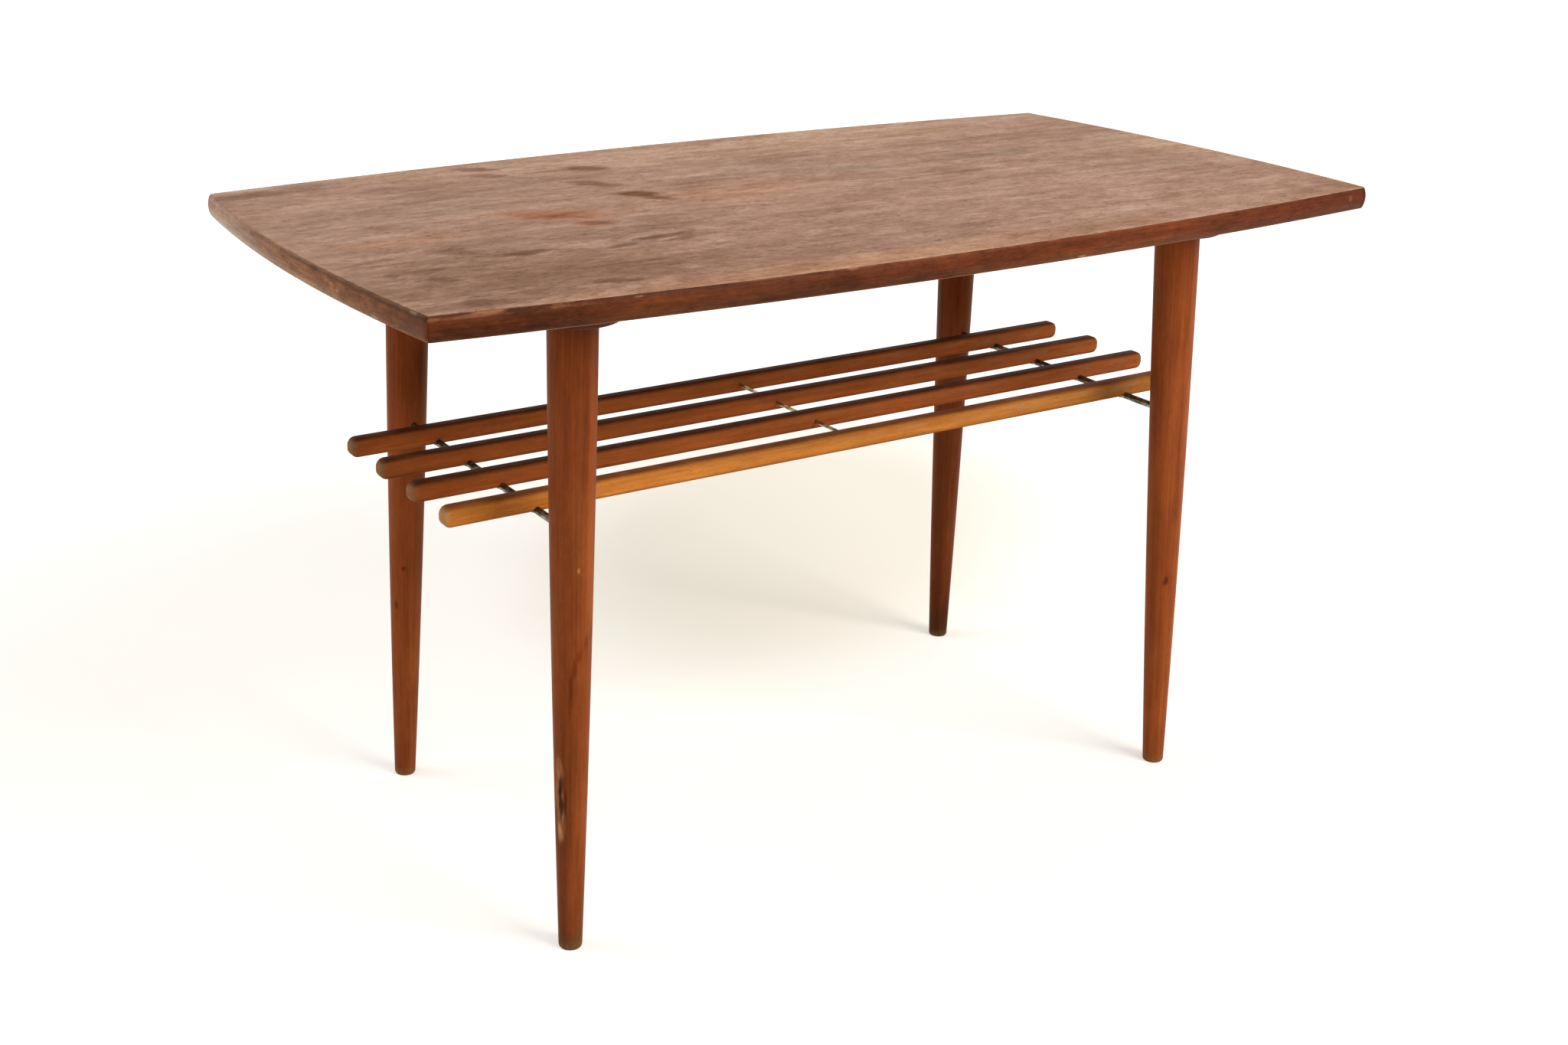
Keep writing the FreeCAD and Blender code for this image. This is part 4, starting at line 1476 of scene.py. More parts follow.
class NodeTree(Wiring):
    """Builds one geometry node tree with named inputs."""

    def __init__(self, name: str) -> None:
        """Starts a tree with a geometry input and output.

        Args:
            name: name of the tree.
        """
        super().__init__(bpy.data.node_groups.new(name, "GeometryNodeTree"))
        self.sockets: dict[str, str] = {}
        self.tree.interface.new_socket("Geometry", in_out="INPUT", socket_type="NodeSocketGeometry")
        self.tree.interface.new_socket("Geometry", in_out="OUTPUT", socket_type="NodeSocketGeometry")
        self.entry = self.tree.nodes.new("NodeGroupInput")
        self.exit = self.tree.nodes.new("NodeGroupOutput")

    def ask(self, name: str, kind: str = "NodeSocketFloat") -> Socket:
        """Adds a named input.

        Args:
            name: name of the input.
            kind: type of its socket.

        Returns:
            The output of the group input node.
        """
        made = self.tree.interface.new_socket(name, in_out="INPUT", socket_type=kind)
        self.sockets[name] = made.identifier
        return self.entry.outputs[name]

    def moved(self, geometry: Socket, offset: Socket, turn: tuple[float, ...] = (0.0, 0.0, 0.0)) -> Socket:
        """Turns a geometry and moves it."""
        return self.result("GeometryNodeTransform", {"Geometry": geometry, "Translation": offset,
                                                     "Rotation": turn})

    def union(self, *solids: Socket) -> Socket:
        """Joins solids to one.

        Args:
            solids: the solids.

        Returns:
            The joined solid.
        """
        made = self.node("GeometryNodeMeshBoolean", operation="UNION", solver="EXACT")
        for solid in solids:
            self.put(made.inputs["Mesh 2"], solid)
        return made.outputs[0]

    def cut(self, solid: Socket, cutter: Socket) -> Socket:
        """Takes a cutter's shape out of a solid."""
        return self.result("GeometryNodeMeshBoolean", {"Mesh 1": solid, "Mesh 2": cutter},
                           operation="DIFFERENCE", solver="EXACT")

    def keep(self, geometry: Socket, name: str, value: Socket, vector: bool = False) -> Socket:
        """Stores a named attribute on the points of a geometry.

        Args:
            geometry: the geometry.
            name: name of the attribute.
            value: its value.
            vector: whether it is a vector.

        Returns:
            The geometry with its attribute.
        """
        return self.result("GeometryNodeStoreNamedAttribute",
                           {"Geometry": geometry, "Name": name, "Value": value},
                           data_type="FLOAT_VECTOR" if vector else "FLOAT", domain="POINT")

    def close(self, geometry: Socket, material: Socket) -> None:
        """Ends the tree with real geometry that has its material.

        Args:
            geometry: the finished geometry.
            material: the material input.
        """
        real = self.result("GeometryNodeRealizeInstances", (geometry,))
        dressed = self.result("GeometryNodeSetMaterial", {"Geometry": real, "Material": material})
        self.put(self.exit.inputs[0], dressed)

    def bake(self, piece: bpy.types.Object, values: dict[str, object], crease: float) -> None:
        """Runs the tree on an object and keeps the result as its plain mesh.

        Args:
            piece: the object.
            values: inputs by name.
            crease: angle in degrees above which an edge stays sharp.
        """
        modifier = piece.modifiers.new("build", "NODES")
        modifier.node_group = self.tree
        for name, value in values.items():
            modifier[self.sockets[name]] = value
        bpy.context.view_layer.update()
        graph = bpy.context.evaluated_depsgraph_get()
        made = bpy.data.meshes.new_from_object(piece.evaluated_get(graph), preserve_all_data_layers=True,
                                               depsgraph=graph)
        piece.modifiers.remove(modifier)
        made.name = piece.name
        piece.data = made
        shade_smooth(made, crease)


@dataclass
class MagazineShelf:
    """The shelf: slats on edge, notched over two end rods and threaded on a middle rod.

    Attributes:
        upper_round: radius of the slats' upper corners, seen from the side.
        lower_round: radius of their lower corners.
        arris: radius of their long edges.
        clearance: gap round the rods.
        worn_end: length at each end over which the wear sets in.
        painted_shade_above: share of the height at which painted shade begins, where the board shades the top
            face, and the share above it over which it grows.
        painted_shade_below: the same from there down, for the shaded lower arris.
        crease: angle in degrees above which a slat's edge stays sharp.
        cutter_deep: length of the notches' cutters, more than a slat is thick.
        cutter_tall: height of the open mouth below a notch's round.
        turn_steps: points on each rounded corner.
        round_steps: rings on each long edge.
        rod_turns: points round a rod, and round a notch.
    """

    upper_round: float = 7.0 * MM
    lower_round: float = 6.0 * MM
    arris: float = 2.5 * MM
    clearance: float = 0.1 * MM
    worn_end: float = 6.0 * MM
    painted_shade_above: tuple[float, float] = (0.79, 0.21)
    painted_shade_below: tuple[float, float] = (0.22, 0.24)
    crease: float = 35.0
    cutter_deep: float = 50.0 * MM
    cutter_tall: float = 10.0 * MM
    turn_steps: int = 9
    round_steps: int = 6
    rod_turns: int = 32

    def outline(self, inset: float, half: float, tall: float) -> np.ndarray:
        """Side view of a slat, drawn in by inset.

        Args:
            inset: distance in from the outline.
            half: half its length.
            tall: its height.

        Returns:
            The points as x, z.
        """
        points = []
        for index, (sign, low_side) in enumerate(((1, True), (1, False), (-1, False), (-1, True))):
            radius = self.lower_round if low_side else self.upper_round
            hub = Vector((sign * (half - radius), radius if low_side else tall - radius))
            for step in range(self.turn_steps):
                angle = math.radians(90.0 * index - 90.0 + 90.0 * step / (self.turn_steps - 1))
                x, z = hub.x + (radius - inset) * math.cos(angle), hub.y + (radius - inset) * math.sin(angle)
                points.append((x, z))
        return np.array(points)

    def make_blank(self, name: str) -> bpy.types.Object:
        """A slat without its notches, with its middle at y 0 and its underside at height 0.

        Args:
            name: name of the object.

        Returns:
            The object.
        """
        low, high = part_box("slat_1")
        half, tall, thick = (high.x - low.x) / 2, high.z - low.z, high.y - low.y
        levels = [(self.arris + CAP_INSET, -thick / 2)]
        levels += [(inset, rise - thick / 2) for inset, rise in rounded(self.arris, self.round_steps)]
        levels += [(inset, -y) for inset, y in reversed(levels)]
        rings = []
        for inset, y in levels:
            ring = self.outline(inset, half, tall)
            rings.append(np.stack([ring[:, 0], np.full(len(ring), y), ring[:, 1]], 1))
        return make_piece(name, *loft(np.stack(rings)))

    def slat_tree(self) -> NodeTree:
        """A row of notched slats.

        Returns:
            The tree, with inputs for the count, the pitch, the places and the notches.
        """
        tree = NodeTree("slat_row")
        count, first = tree.ask("Count", "NodeSocketInt"), tree.ask("First Number")
        pitch, start, rise = tree.ask("Pitch"), tree.ask("First Y"), tree.ask("Underside")
        rod_x, rod_z, rod_radius = tree.ask("Rod X"), tree.ask("Rod Height"), tree.ask("Notch Radius")
        half, tall = tree.ask("Half Length"), tree.ask("Slat Height")
        material = tree.ask("Finish", "NodeSocketMaterial")
        cutters = tree.node("GeometryNodeJoinGeometry")
        for sign in (-1.0, 1.0):
            x = tree.math("MULTIPLY", rod_x, sign)
            bar = tree.result("GeometryNodeMeshCylinder", {"Vertices": self.rod_turns, "Radius": rod_radius,
                                                           "Depth": self.cutter_deep})
            turned = tree.moved(bar, tree.point(x, 0.0, rod_z), (math.pi / 2, 0.0, 0.0))
            wide = tree.math("MULTIPLY", rod_radius, 2.0)
            size = tree.point(wide, self.cutter_deep, self.cutter_tall)
            mouth = tree.result("GeometryNodeMeshCube", {"Size": size})
            low = tree.math("SUBTRACT", rod_z, self.cutter_tall / 2)
            moved = tree.moved(mouth, tree.point(x, 0.0, low))
            tree.put(cutters.inputs[0], tree.union(turned, moved))
        cut = tree.cut(tree.entry.outputs["Geometry"], cutters.outputs[0])
        place = tree.result("GeometryNodeInputPosition")
        parts = tree.node("ShaderNodeSeparateXYZ", (place,))
        with_grain = tree.keep(cut, "grain", place, True)
        from_middle = tree.math("ABSOLUTE", parts.outputs[0], 0.0)
        beyond = tree.math("SUBTRACT", from_middle, tree.math("SUBTRACT", half, self.worn_end))
        beyond = tree.math("DIVIDE", beyond, self.worn_end - 1.0 * MM, clamp=True)
        with_wear = tree.keep(with_grain, "wear", beyond)
        # Painted shade on the top faces, which the board shades, and on the lower arrises.
        share = tree.math("DIVIDE", parts.outputs[2], tall)
        above = tree.math("DIVIDE", tree.math("SUBTRACT", share, self.painted_shade_above[0]), self.painted_shade_above[1])
        below = tree.math("DIVIDE", tree.math("SUBTRACT", self.painted_shade_below[0], share), self.painted_shade_below[1])
        with_painted_shade = tree.keep(with_wear, "dirt", tree.math("MAXIMUM", above, below, clamp=True))
        step = tree.point(0.0, tree.math("MULTIPLY", pitch, -1.0), 0.0)
        line = tree.result("GeometryNodeMeshLine", {"Count": count, "Offset": step,
                                                    "Start Location": tree.point(0.0, start, rise)},
                           mode="OFFSET", count_mode="TOTAL")
        number = tree.math("ADD", tree.result("GeometryNodeInputIndex"), first)
        row = {"Points": tree.keep(line, "board", number), "Instance": with_painted_shade}
        tree.close(tree.result("GeometryNodeInstanceOnPoints", row), material)
        return tree

    def make_rod(self, name: str, slot: str, finish: bpy.types.Material) -> None:
        """Makes one round rod along y inside the box of its node, with rounded ends.

        Args:
            name: name of the node.
            slot: its material slot.
            finish: its material.
        """
        low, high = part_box(name)
        x, z, radius = (low.x + high.x) / 2, (low.z + high.z) / 2, (high.z - low.z) / 2
        edge = radius * 0.25
        end = [(0.0, radius - edge)]
        end += [(edge * (1 - math.cos(turn)), radius - edge * (1 - math.sin(turn)))
                for turn in np.linspace(0.2, math.pi / 2, 4)]
        places = [(low.y + along, r) for along, r in end]
        places += [(y, radius) for y in np.linspace(low.y + 2 * edge, high.y - 2 * edge, 40)]
        places += [(high.y - along, r) for along, r in reversed(end)]
        turns = np.linspace(0.0, 2 * math.pi, self.rod_turns, endpoint=False)
        rings = []
        for y, r in places:
            r -= 0.02 * MM * (1.0 + vary(x * 0.3, y, rate=30, seed=2.2))
            rings.append(np.stack([x + r * np.cos(turns), np.full(len(turns), y), z + r * np.sin(turns)], 1))
        piece = make_piece(name + "_bar", *loft(np.stack(rings)))
        piece.data.materials.append(finish)
        hand_over(piece, slot, name)

    def make(self, finishes: dict[str, bpy.types.Material]) -> None:
        """Makes the slats and the rods.

        Args:
            finishes: materials by name.
        """
        low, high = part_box("slat_1")
        next_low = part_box("slat_2")[0]
        front_low, front_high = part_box("slat_4")
        rod_low, rod_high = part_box("rod_right")
        tree = self.slat_tree()
        shared = {
            "Pitch": low.y - next_low.y, "Underside": low.z, "Rod X": (rod_low.x + rod_high.x) / 2,
            "Rod Height": (rod_low.z + rod_high.z) / 2 - low.z,
            "Notch Radius": (rod_high.z - rod_low.z) / 2 + self.clearance,
            "Half Length": (high.x - low.x) / 2, "Slat Height": high.z - low.z,
        }
        back = self.make_blank("shelf_slats")
        tree.bake(back, {**shared, "Count": 3, "First Number": SLAT_BOARD,
                         "First Y": (low.y + high.y) / 2, "Finish": finishes["slat"]}, self.crease)
        hand_over(back, "slat", "slat_1", "slat_2", "slat_3")
        front = self.make_blank("front_slat")
        tree.bake(front, {**shared, "Count": 1, "First Number": SLAT_BOARD + 3.0,
                          "First Y": (front_low.y + front_high.y) / 2,
                          "Finish": finishes["slat_front"]}, self.crease)
        hand_over(front, "slat_front", "slat_4")
        self.make_rod("rod_left", "end_rod", finishes["end_rod"])
        self.make_rod("rod_right", "end_rod", finishes["end_rod"])
        self.make_rod("rod_middle", "middle_rod", finishes["middle_rod"])


@dataclass
class Fastenings:
    """Slotted countersunk screws below the battens and the end rods, and the wedges in the tenons.

    Attributes:
        slot_share: width of a screw's slot as a share of its head's radius.
        lap: how far the shank starts inside the head, as a share of the head's depth.
        crease: angle in degrees above which a screw's edge stays sharp.
        seed: seed for the slots' directions.
        turns: points round a screw.
    """

    slot_share: float = 0.28
    lap: float = 0.9
    crease: float = 30.0
    seed: int = 7
    turns: int = 28

    def screw_tree(self) -> NodeTree:
        """A grid of slotted countersunk screws that point up.

        Returns:
            The tree.
        """
        tree = NodeTree("screw_grid")
        across, deep = tree.ask("Spacing X"), tree.ask("Spacing Y")
        rows, level = tree.ask("Rows", "NodeSocketInt"), tree.ask("Level")
        head, shank = tree.ask("Head Radius"), tree.ask("Shank Radius")
        sink, length = tree.ask("Sink"), tree.ask("Length")
        slot, seed = tree.ask("Slot Width"), tree.ask("Seed", "NodeSocketInt")
        material = tree.ask("Finish", "NodeSocketMaterial")
        start = tree.math("MULTIPLY", sink, self.lap)
        cone = tree.result("GeometryNodeMeshCone", {"Vertices": self.turns, "Radius Top": shank,
                                                    "Radius Bottom": head, "Depth": sink})
        body = tree.result("GeometryNodeMeshCone", {"Vertices": self.turns, "Radius Bottom": shank,
                                                    "Radius Top": tree.math("MULTIPLY", shank, 0.25),
                                                    "Depth": tree.math("SUBTRACT", length, start)})
        whole = tree.union(cone, tree.moved(body, tree.point(0.0, 0.0, start)))
        size = tree.point(tree.math("MULTIPLY", head, 2.4), slot, start)
        cut = tree.cut(whole, tree.result("GeometryNodeMeshCube", {"Size": size}))
        grid = tree.result("GeometryNodeMeshGrid", {"Size X": across, "Size Y": deep, "Vertices X": 2,
                                                    "Vertices Y": rows})
        turn = tree.node("FunctionNodeRandomValue", {"Seed": seed, 3: math.pi}, data_type="FLOAT")
        angle = next(socket for socket in turn.outputs if socket.enabled)
        row = {"Points": tree.moved(grid, tree.point(0.0, 0.0, level)), "Instance": cut,
               "Rotation": tree.point(0.0, 0.0, angle)}
        tree.close(tree.result("GeometryNodeInstanceOnPoints", row), material)
        return tree

    def make_set(self, tree: NodeTree, node: str, finish: bpy.types.Material, rows: int, head: float,
                 shank: float, sink: float) -> None:
        """Makes the screws of one node.

        Args:
            tree: the tree.
            node: the node that they stand for.
            finish: their material.
            rows: number of screws on each side.
            head: radius of their heads.
            shank: radius of their shanks.
            sink: depth of their heads.
        """
        low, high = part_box(node)
        piece = make_piece(node + "_set", [(0, 0, 0), (0.001, 0, 0), (0, 0.001, 0)], [(0, 1, 2)])
        tree.bake(piece, {"Spacing X": high.x - low.x - 2 * head, "Spacing Y": high.y - low.y - 2 * head,
                          "Rows": rows, "Level": low.z, "Head Radius": head, "Shank Radius": shank,
                          "Sink": sink, "Length": high.z - low.z - 0.2 * MM,
                          "Slot Width": head * self.slot_share, "Seed": self.seed, "Finish": finish},
                  self.crease)
        hand_over(piece, "screw", node)

    def make(self, finishes: dict[str, bpy.types.Material]) -> None:
        """Makes both sets of screws and dresses the wedges.

        Args:
            finishes: materials by name.
        """
        tree = self.screw_tree()
        finish = finishes["screw"]
        self.make_set(tree, "batten_screws", finish, rows=3, head=4.0 * MM, shank=2.0 * MM, sink=2.2 * MM)
        self.make_set(tree, "slat_screws", finish, rows=4, head=2.0 * MM, shank=1.0 * MM, sink=1.0 * MM)
        dress_node("leg_wedges", finishes["wedge"])


@dataclass
class Studio:
    """The pale floor, the plain light and the camera.

    Attributes:
        place: place of the camera.
        yaw: its turn from +y towards +x in degrees.
        pitch: its tilt upwards in degrees.
        roll: its turn about its own axis in degrees.
        focal: focal length in image widths.
        centre: column of the image at which it looks straight ahead.
        near_glow: brightness that the camera sees on top of the floor's own near the table.
        far_glow: the same far from the table.
        white_from: distance from the table's middle at which it starts to rise.
        white_to: distance at which it is highest.
        shade_place: middle of the warm shade that lies on the floor behind the table.
        shade_reach: half its length and half its width.
        shade_turn: its turn from +x towards +y in degrees.
        shade_rim: shares of that reach between which it fades.
        shade_tint: colour of the brightness there.
        shade_glow: the brightness there.
        floor_half: half the side of the floor.
        floor_thick: its thickness.
        paper: its darker and lighter colour.
        sky_colour: colour of the light from all round.
        sky_power: its strength.
    """

    place: tuple[float, float, float] = (-0.9082, -1.3333, 0.8660)
    yaw: float = 31.0715
    pitch: float = -21.1456
    roll: float = 0.502
    focal: float = 2523.5 / IMAGE_WIDTH
    centre: float = 900.0
    near_glow: float = 0.46
    far_glow: float = 0.85
    white_from: float = 0.75
    white_to: float = 1.9
    shade_place: tuple[float, float] = (0.34, 0.50)
    shade_reach: tuple[float, float] = (0.50, 0.32)
    shade_turn: float = 41.0
    shade_rim: tuple[float, float] = (0.45, 1.15)
    shade_tint: Colour = (1.0, 0.92, 0.76)
    shade_glow: float = 0.28
    floor_half: float = 12.0
    floor_thick: float = 0.05
    paper: tuple[Colour, Colour] = ((0.84, 0.80, 0.72), (0.87, 0.83, 0.76))
    sky_colour: Colour = (1.0, 0.985, 0.96)
    sky_power: float = 0.46

    def make_camera(self) -> None:
        """Sets the camera at the photograph's viewpoint."""
        data = bpy.data.cameras.new("camera")
        data.sensor_width = 36.0
        data.lens = self.focal * data.sensor_width
        data.shift_x = (IMAGE_WIDTH / 2 - self.centre) / IMAGE_WIDTH
        data.clip_start = 0.05
        camera = bpy.data.objects.new("camera", data)
        bpy.context.scene.collection.objects.link(camera)
        yaw, pitch, roll = (math.radians(angle) for angle in (self.yaw, self.pitch, self.roll))
        ahead = Vector((math.sin(yaw) * math.cos(pitch), math.cos(yaw) * math.cos(pitch), math.sin(pitch)))
        right = Vector((math.cos(yaw), -math.sin(yaw), 0.0))
        up = right.cross(ahead)
        tilted_right = math.cos(roll) * right + math.sin(roll) * up
        tilted_up = -math.sin(roll) * right + math.cos(roll) * up
        turn = Matrix((tilted_right, tilted_up, -ahead)).transposed()
        camera.matrix_world = Matrix.Translation(self.place) @ turn.to_4x4()
        bpy.context.scene.camera = camera

    def make_floor(self) -> None:
        """A pale floor that looks white to the camera and keeps the table's shadow."""
        bench = Bench(bpy.data.materials.new("floor_paper"))
        place = bench.place()
        tone = bench.cloud(place, 0.4, 0.4, 1.0, 3.0)
        colour = bench.blend(bench.spread(tone, 0.3, 0.7, 0.0, 1.0), *self.paper)
        diffuse = bench.result("ShaderNodeBsdfDiffuse", (colour,))
        away = bench.vector("LENGTH", place)
        lift = bench.ease(away, self.white_from, self.white_to, self.near_glow, self.far_glow)
        turn = math.radians(self.shade_turn)
        long_way = (math.cos(turn) / self.shade_reach[0], math.sin(turn) / self.shade_reach[0], 0.0)
        short_way = (-math.sin(turn) / self.shade_reach[1], math.cos(turn) / self.shade_reach[1], 0.0)
        shifted = bench.vector("SUBTRACT", place, (*self.shade_place, 0.0))
        offset = bench.point(bench.vector("DOT_PRODUCT", shifted, long_way),
                             bench.vector("DOT_PRODUCT", shifted, short_way),
                             bench.math("SUBTRACT", tone, 0.5))
        reach = bench.vector("LENGTH", offset)
        tint = bench.blend(bench.ease(reach, *self.shade_rim), self.shade_tint, WHITE)
        lift = bench.ease(reach, *self.shade_rim, self.shade_glow, lift)
        glow = bench.result("ShaderNodeEmission", (tint, bench.math("MULTIPLY", bench.seen(), lift)))
        bench.show(bench.result("ShaderNodeAddShader", (diffuse, glow)))
        half = self.floor_half
        square = np.array([(-half, -half), (half, -half), (half, half), (-half, half)])
        rings = np.stack([at_height(square, -self.floor_thick), at_height(square, 0.0)])
        floor = make_piece("floor", *loft(rings))
        floor.data.materials.append(bench.owner)
        floor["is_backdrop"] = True

    def make_light(self) -> None:
        """Even light from all round, a soft key from the front right and a fill from behind on the left."""
        world = bpy.data.worlds.new("studio")
        bpy.context.scene.world = world
        bench = Bench(world)
        lamp = bench.result("ShaderNodeBackground", (self.sky_colour, self.sky_power))
        white = bench.result("ShaderNodeBackground", (WHITE, 1.0))
        bench.show(bench.result("ShaderNodeMixShader", (bench.seen(), lamp, white)))
        self.add_lamp("key", place=(1.15, -2.3, 2.1), aim=(0.0, 0.0, 0.35), size=1.6, power=62.0,
                      colour=(1.0, 0.97, 0.93))
        self.add_lamp("fill", place=(-2.2, 1.6, 2.4), aim=(0.0, 0.0, 0.4), size=1.8, power=26.0,
                      colour=(0.97, 0.98, 1.0))

    @staticmethod
    def add_lamp(name: str, place: tuple[float, float, float], aim: tuple[float, float, float],
                 size: float, power: float, colour: Colour) -> None:
        """Adds one soft square lamp.

        Args:
            name: its name.
            place: where it hangs.
            aim: what it points at.
            size: its side in metres.
            power: its power in watts.
            colour: its colour.
        """
        data = bpy.data.lights.new(name, "AREA")
        data.shape = "SQUARE"
        data.size = size
        data.energy = power
        data.color = colour
        lamp = bpy.data.objects.new(name, data)
        bpy.context.scene.collection.objects.link(lamp)
        lamp.location = place
        lamp.rotation_euler = (Vector(aim) - Vector(place)).to_track_quat("-Z", "Y").to_euler()

    def make(self) -> None:
        """Sets up the whole studio."""
        self.make_camera()
        self.make_floor()
        self.make_light()
        bpy.context.scene.view_settings.view_transform = "Standard"


FACE_MARKS = (
    *marks(Tone.BURNT, (-398, 196, 110, 26, 0.60), (-352, 212, 84, 20, 0.30), soft=0.8),
    *marks(Tone.BURNT, (-200, 211, 46, 22, 0.72, None, -30), (-201, 178, 38, 18, 0.62, None, -30),
           (-113, 170, 42, 26, 0.78, None, -29), (-138, 107, 52, 22, 0.72, None, -44),
           (-120, 30, 38, 16, 0.72, None, -50), (-187, -94, 58, 12, 0.66, None, 4),
           (-175, -106, 36, 11, 0.55, None, 8), (-226, -106, 34, 12, 0.50, None, 15), ragged=0.3),
    *marks(Tone.BURNT, (-150, 173, 60, 9, 0.30), (-218, 0, 40, 14, 0.45, None, -29),
           (-210, -30, 26, 12, 0.45, None, -28), (-150, -60, 60, 7, 0.30), (-40, 70, 70, 9, 0.25),
           (-395, -110, 70, 10, 0.40), (-384, -141, 26, 12, 0.45, None, -13),
           (-362, 30, 34, 14, 0.35, None, -32)),
    *marks(Tone.BURNT, (-126, 52, 40, 26, 0.92, None, -28), (-302, -95, 38, 15, 0.72, None, 1),
           soft=0.5, ragged=0.3),
    *marks(Tone.RUST, (-225, 12, 110, 52, 0.80, None, -20), (-365, -20, 130, 26, 0.80),
           (-60, 20, 160, 60, 0.55), soft=0.9),
    *marks(Tone.WARM, (-222, 10, 80, 32, 0.88, None, -29), soft=0.7, ragged=0.3),
    *marks(Tone.WARM, (-210, -29, 36, 20, 1.00, None, -28), soft=0.4, ragged=0.3),
    *marks(Tone.BURNT, (-347, -65, 44, 18, 0.58, None, -30), (-160, -135, 42, 9, 0.42),
           (-283, -197, 40, 14, 0.62, None, -15), (-388, -208, 46, 20, 0.52, None, -13), ragged=0.4),
    *marks(Tone.SOOT, (-352, -84, 150, 34, 0.50), soft=0.9),
    *marks(Tone.BLEACHED, (-352, -190, 30, 5, 0.80, None, 14), (-186, -104, 26, 4, 0.70, None, 6),
           ragged=0.3),
    *marks(Tone.UMBER, (-190, -160, 560, 150, 0.10), soft=0.5, ragged=2.2),
    *marks(Tone.SOOT, (-340, -150, 330, 130, 0.70), (-100, -185, 380, 80, 0.30),
           (-230, -62, 260, 60, 0.40), soft=0.95),
    *marks(Tone.TAN, (-290, -170, 340, 110, 0.50), (150, -226, 190, 44, 0.85),
           (400, -216, 170, 50, 0.95), (430, -150, 60, 140, 0.50), soft=0.9),
    *marks(Tone.UMBER, (-398, -208, 120, 34, 0.35), soft=0.8),
    *marks(Tone.AMBER, (-120, -233, 460, 44, 0.85), soft=0.9),
    # The bleached far strip and right end of the top are partly faded wood and partly painted sheen, the
    # grazing reflection on the far part.
    *marks(Tone.BLEACHED, (430, 10, 70, 140, 0.80), (130, 208, 640, 120, 0.90),
           (-270, 208, 280, 60, 0.45), soft=0.9),
    *marks(Tone.PALE, (-50, 10, 240, 200, 0.35), soft=0.9),
    *marks(Tone.GREY, (-330, 70, 200, 60, 0.45), (105, 60, 90, 26, 0.75), (250, 55, 110, 26, 0.85),
           (30, 90, 130, 60, 0.50), (330, -60, 150, 26, 0.55), soft=0.9),
    *marks(Tone.SOOT, (280, -120, 170, 12, 0.45), (330, -80, 150, 9, 0.55), (200, -170, 160, 9, 0.55),
           (340, 110, 140, 10, 0.60), (120, 130, 180, 9, 0.60), (230, 175, 140, 9, 0.60),
           (20, -60, 170, 7, 0.55), (150, 0, 150, 8, 0.50), (60, 185, 120, 10, 0.50)),
)

FRONT_EDGE_MARKS = (
    # The darkening of the left half and of the right end of the front edge is painted shade, where the bowed
    # edge turns from the light.
    *marks(Tone.DEEP, (-270, 3, 460, 120, 0.90), soft=0.5),
    *marks(Tone.UMBER, (-385, 3, 260, 90, 0.40), soft=0.95),
    *marks(Tone.GLOW, (-262, 3, 90, 60, 0.85), (120, 3, 170, 60, 0.68), soft=0.9),
    *marks(Tone.RUST, (-60, 3, 90, 60, 0.25), soft=0.9),
    *marks(Tone.UMBER, (385, 3, 240, 90, 0.65), soft=0.9),
    *marks(Tone.BURNT, (-352, 3, 46, 14, 0.50, 8.0), (-400, 3, 60, 12, 0.40, 5.0),
           (-120, 3, 50, 10, 0.40, 9.0), (10, 3, 60, 10, 0.35, 12.0), soft=0.8, ragged=1.2),
    *marks(Tone.BURNT, (437, 3, 16, 60, 0.70), soft=0.9),
    *marks(Tone.BARE, (415, 1, 6, 6, 0.80, 11.0), ragged=0.2),
    *marks(Tone.ASHEN, (0, 1, 1300, 9, 0.55, 2.4), soft=0.9, ragged=0.8),
)

END_EDGE_MARKS = (
    *marks(Tone.DUSTY, (190, 3, 250, 90, 0.75), soft=0.9),
    *marks(Tone.RUST, (220, 3, 110, 60, 0.50), soft=0.9),
    *marks(Tone.UMBER, (-200, 3, 220, 60, 0.80), soft=0.9),
    *marks(Tone.BURNT, (-230, 3, 110, 60, 0.55), soft=0.9),
    *marks(Tone.AMBER, (-110, 3, 320, 60, 0.90), soft=0.9),
    *marks(Tone.TAN, (20, 3, 60, 40, 0.35), soft=0.8),
    *marks(Tone.BURNT, (-60, 3, 46, 16, 0.45, 11.0), (-110, 3, 60, 16, 0.40, 12.0),
           (-170, 3, 60, 14, 0.35, 8.0), (-10, 3, 50, 12, 0.35, 9.0), (60, 3, 50, 12, 0.30, 12.0),
           soft=0.8, ragged=1.5),
    # The light line along the lower arris is partly dust and partly a painted highlight of the light from the
    # floor.
    *marks(Tone.DUSTY, (60, 1, 540, 10, 0.55, 2.6), soft=0.9, ragged=0.8),
)

GRAIN_LINE = (
    *marks(Tone.UMBER, (270, -10.0, 14, 6, 0.55, 11.8), (262, -3.5, 14, 5, 0.60, 15.0),
           (253, 2.0, 15, 4.4, 0.65, 15.0), (242, 5.3, 18, 4.0, 0.65, 14.2),
           (229, 7.2, 22, 3.8, 0.65, 13.0), (213, 6.6, 26, 3.8, 0.50, 12.8), ragged=0.2),
)

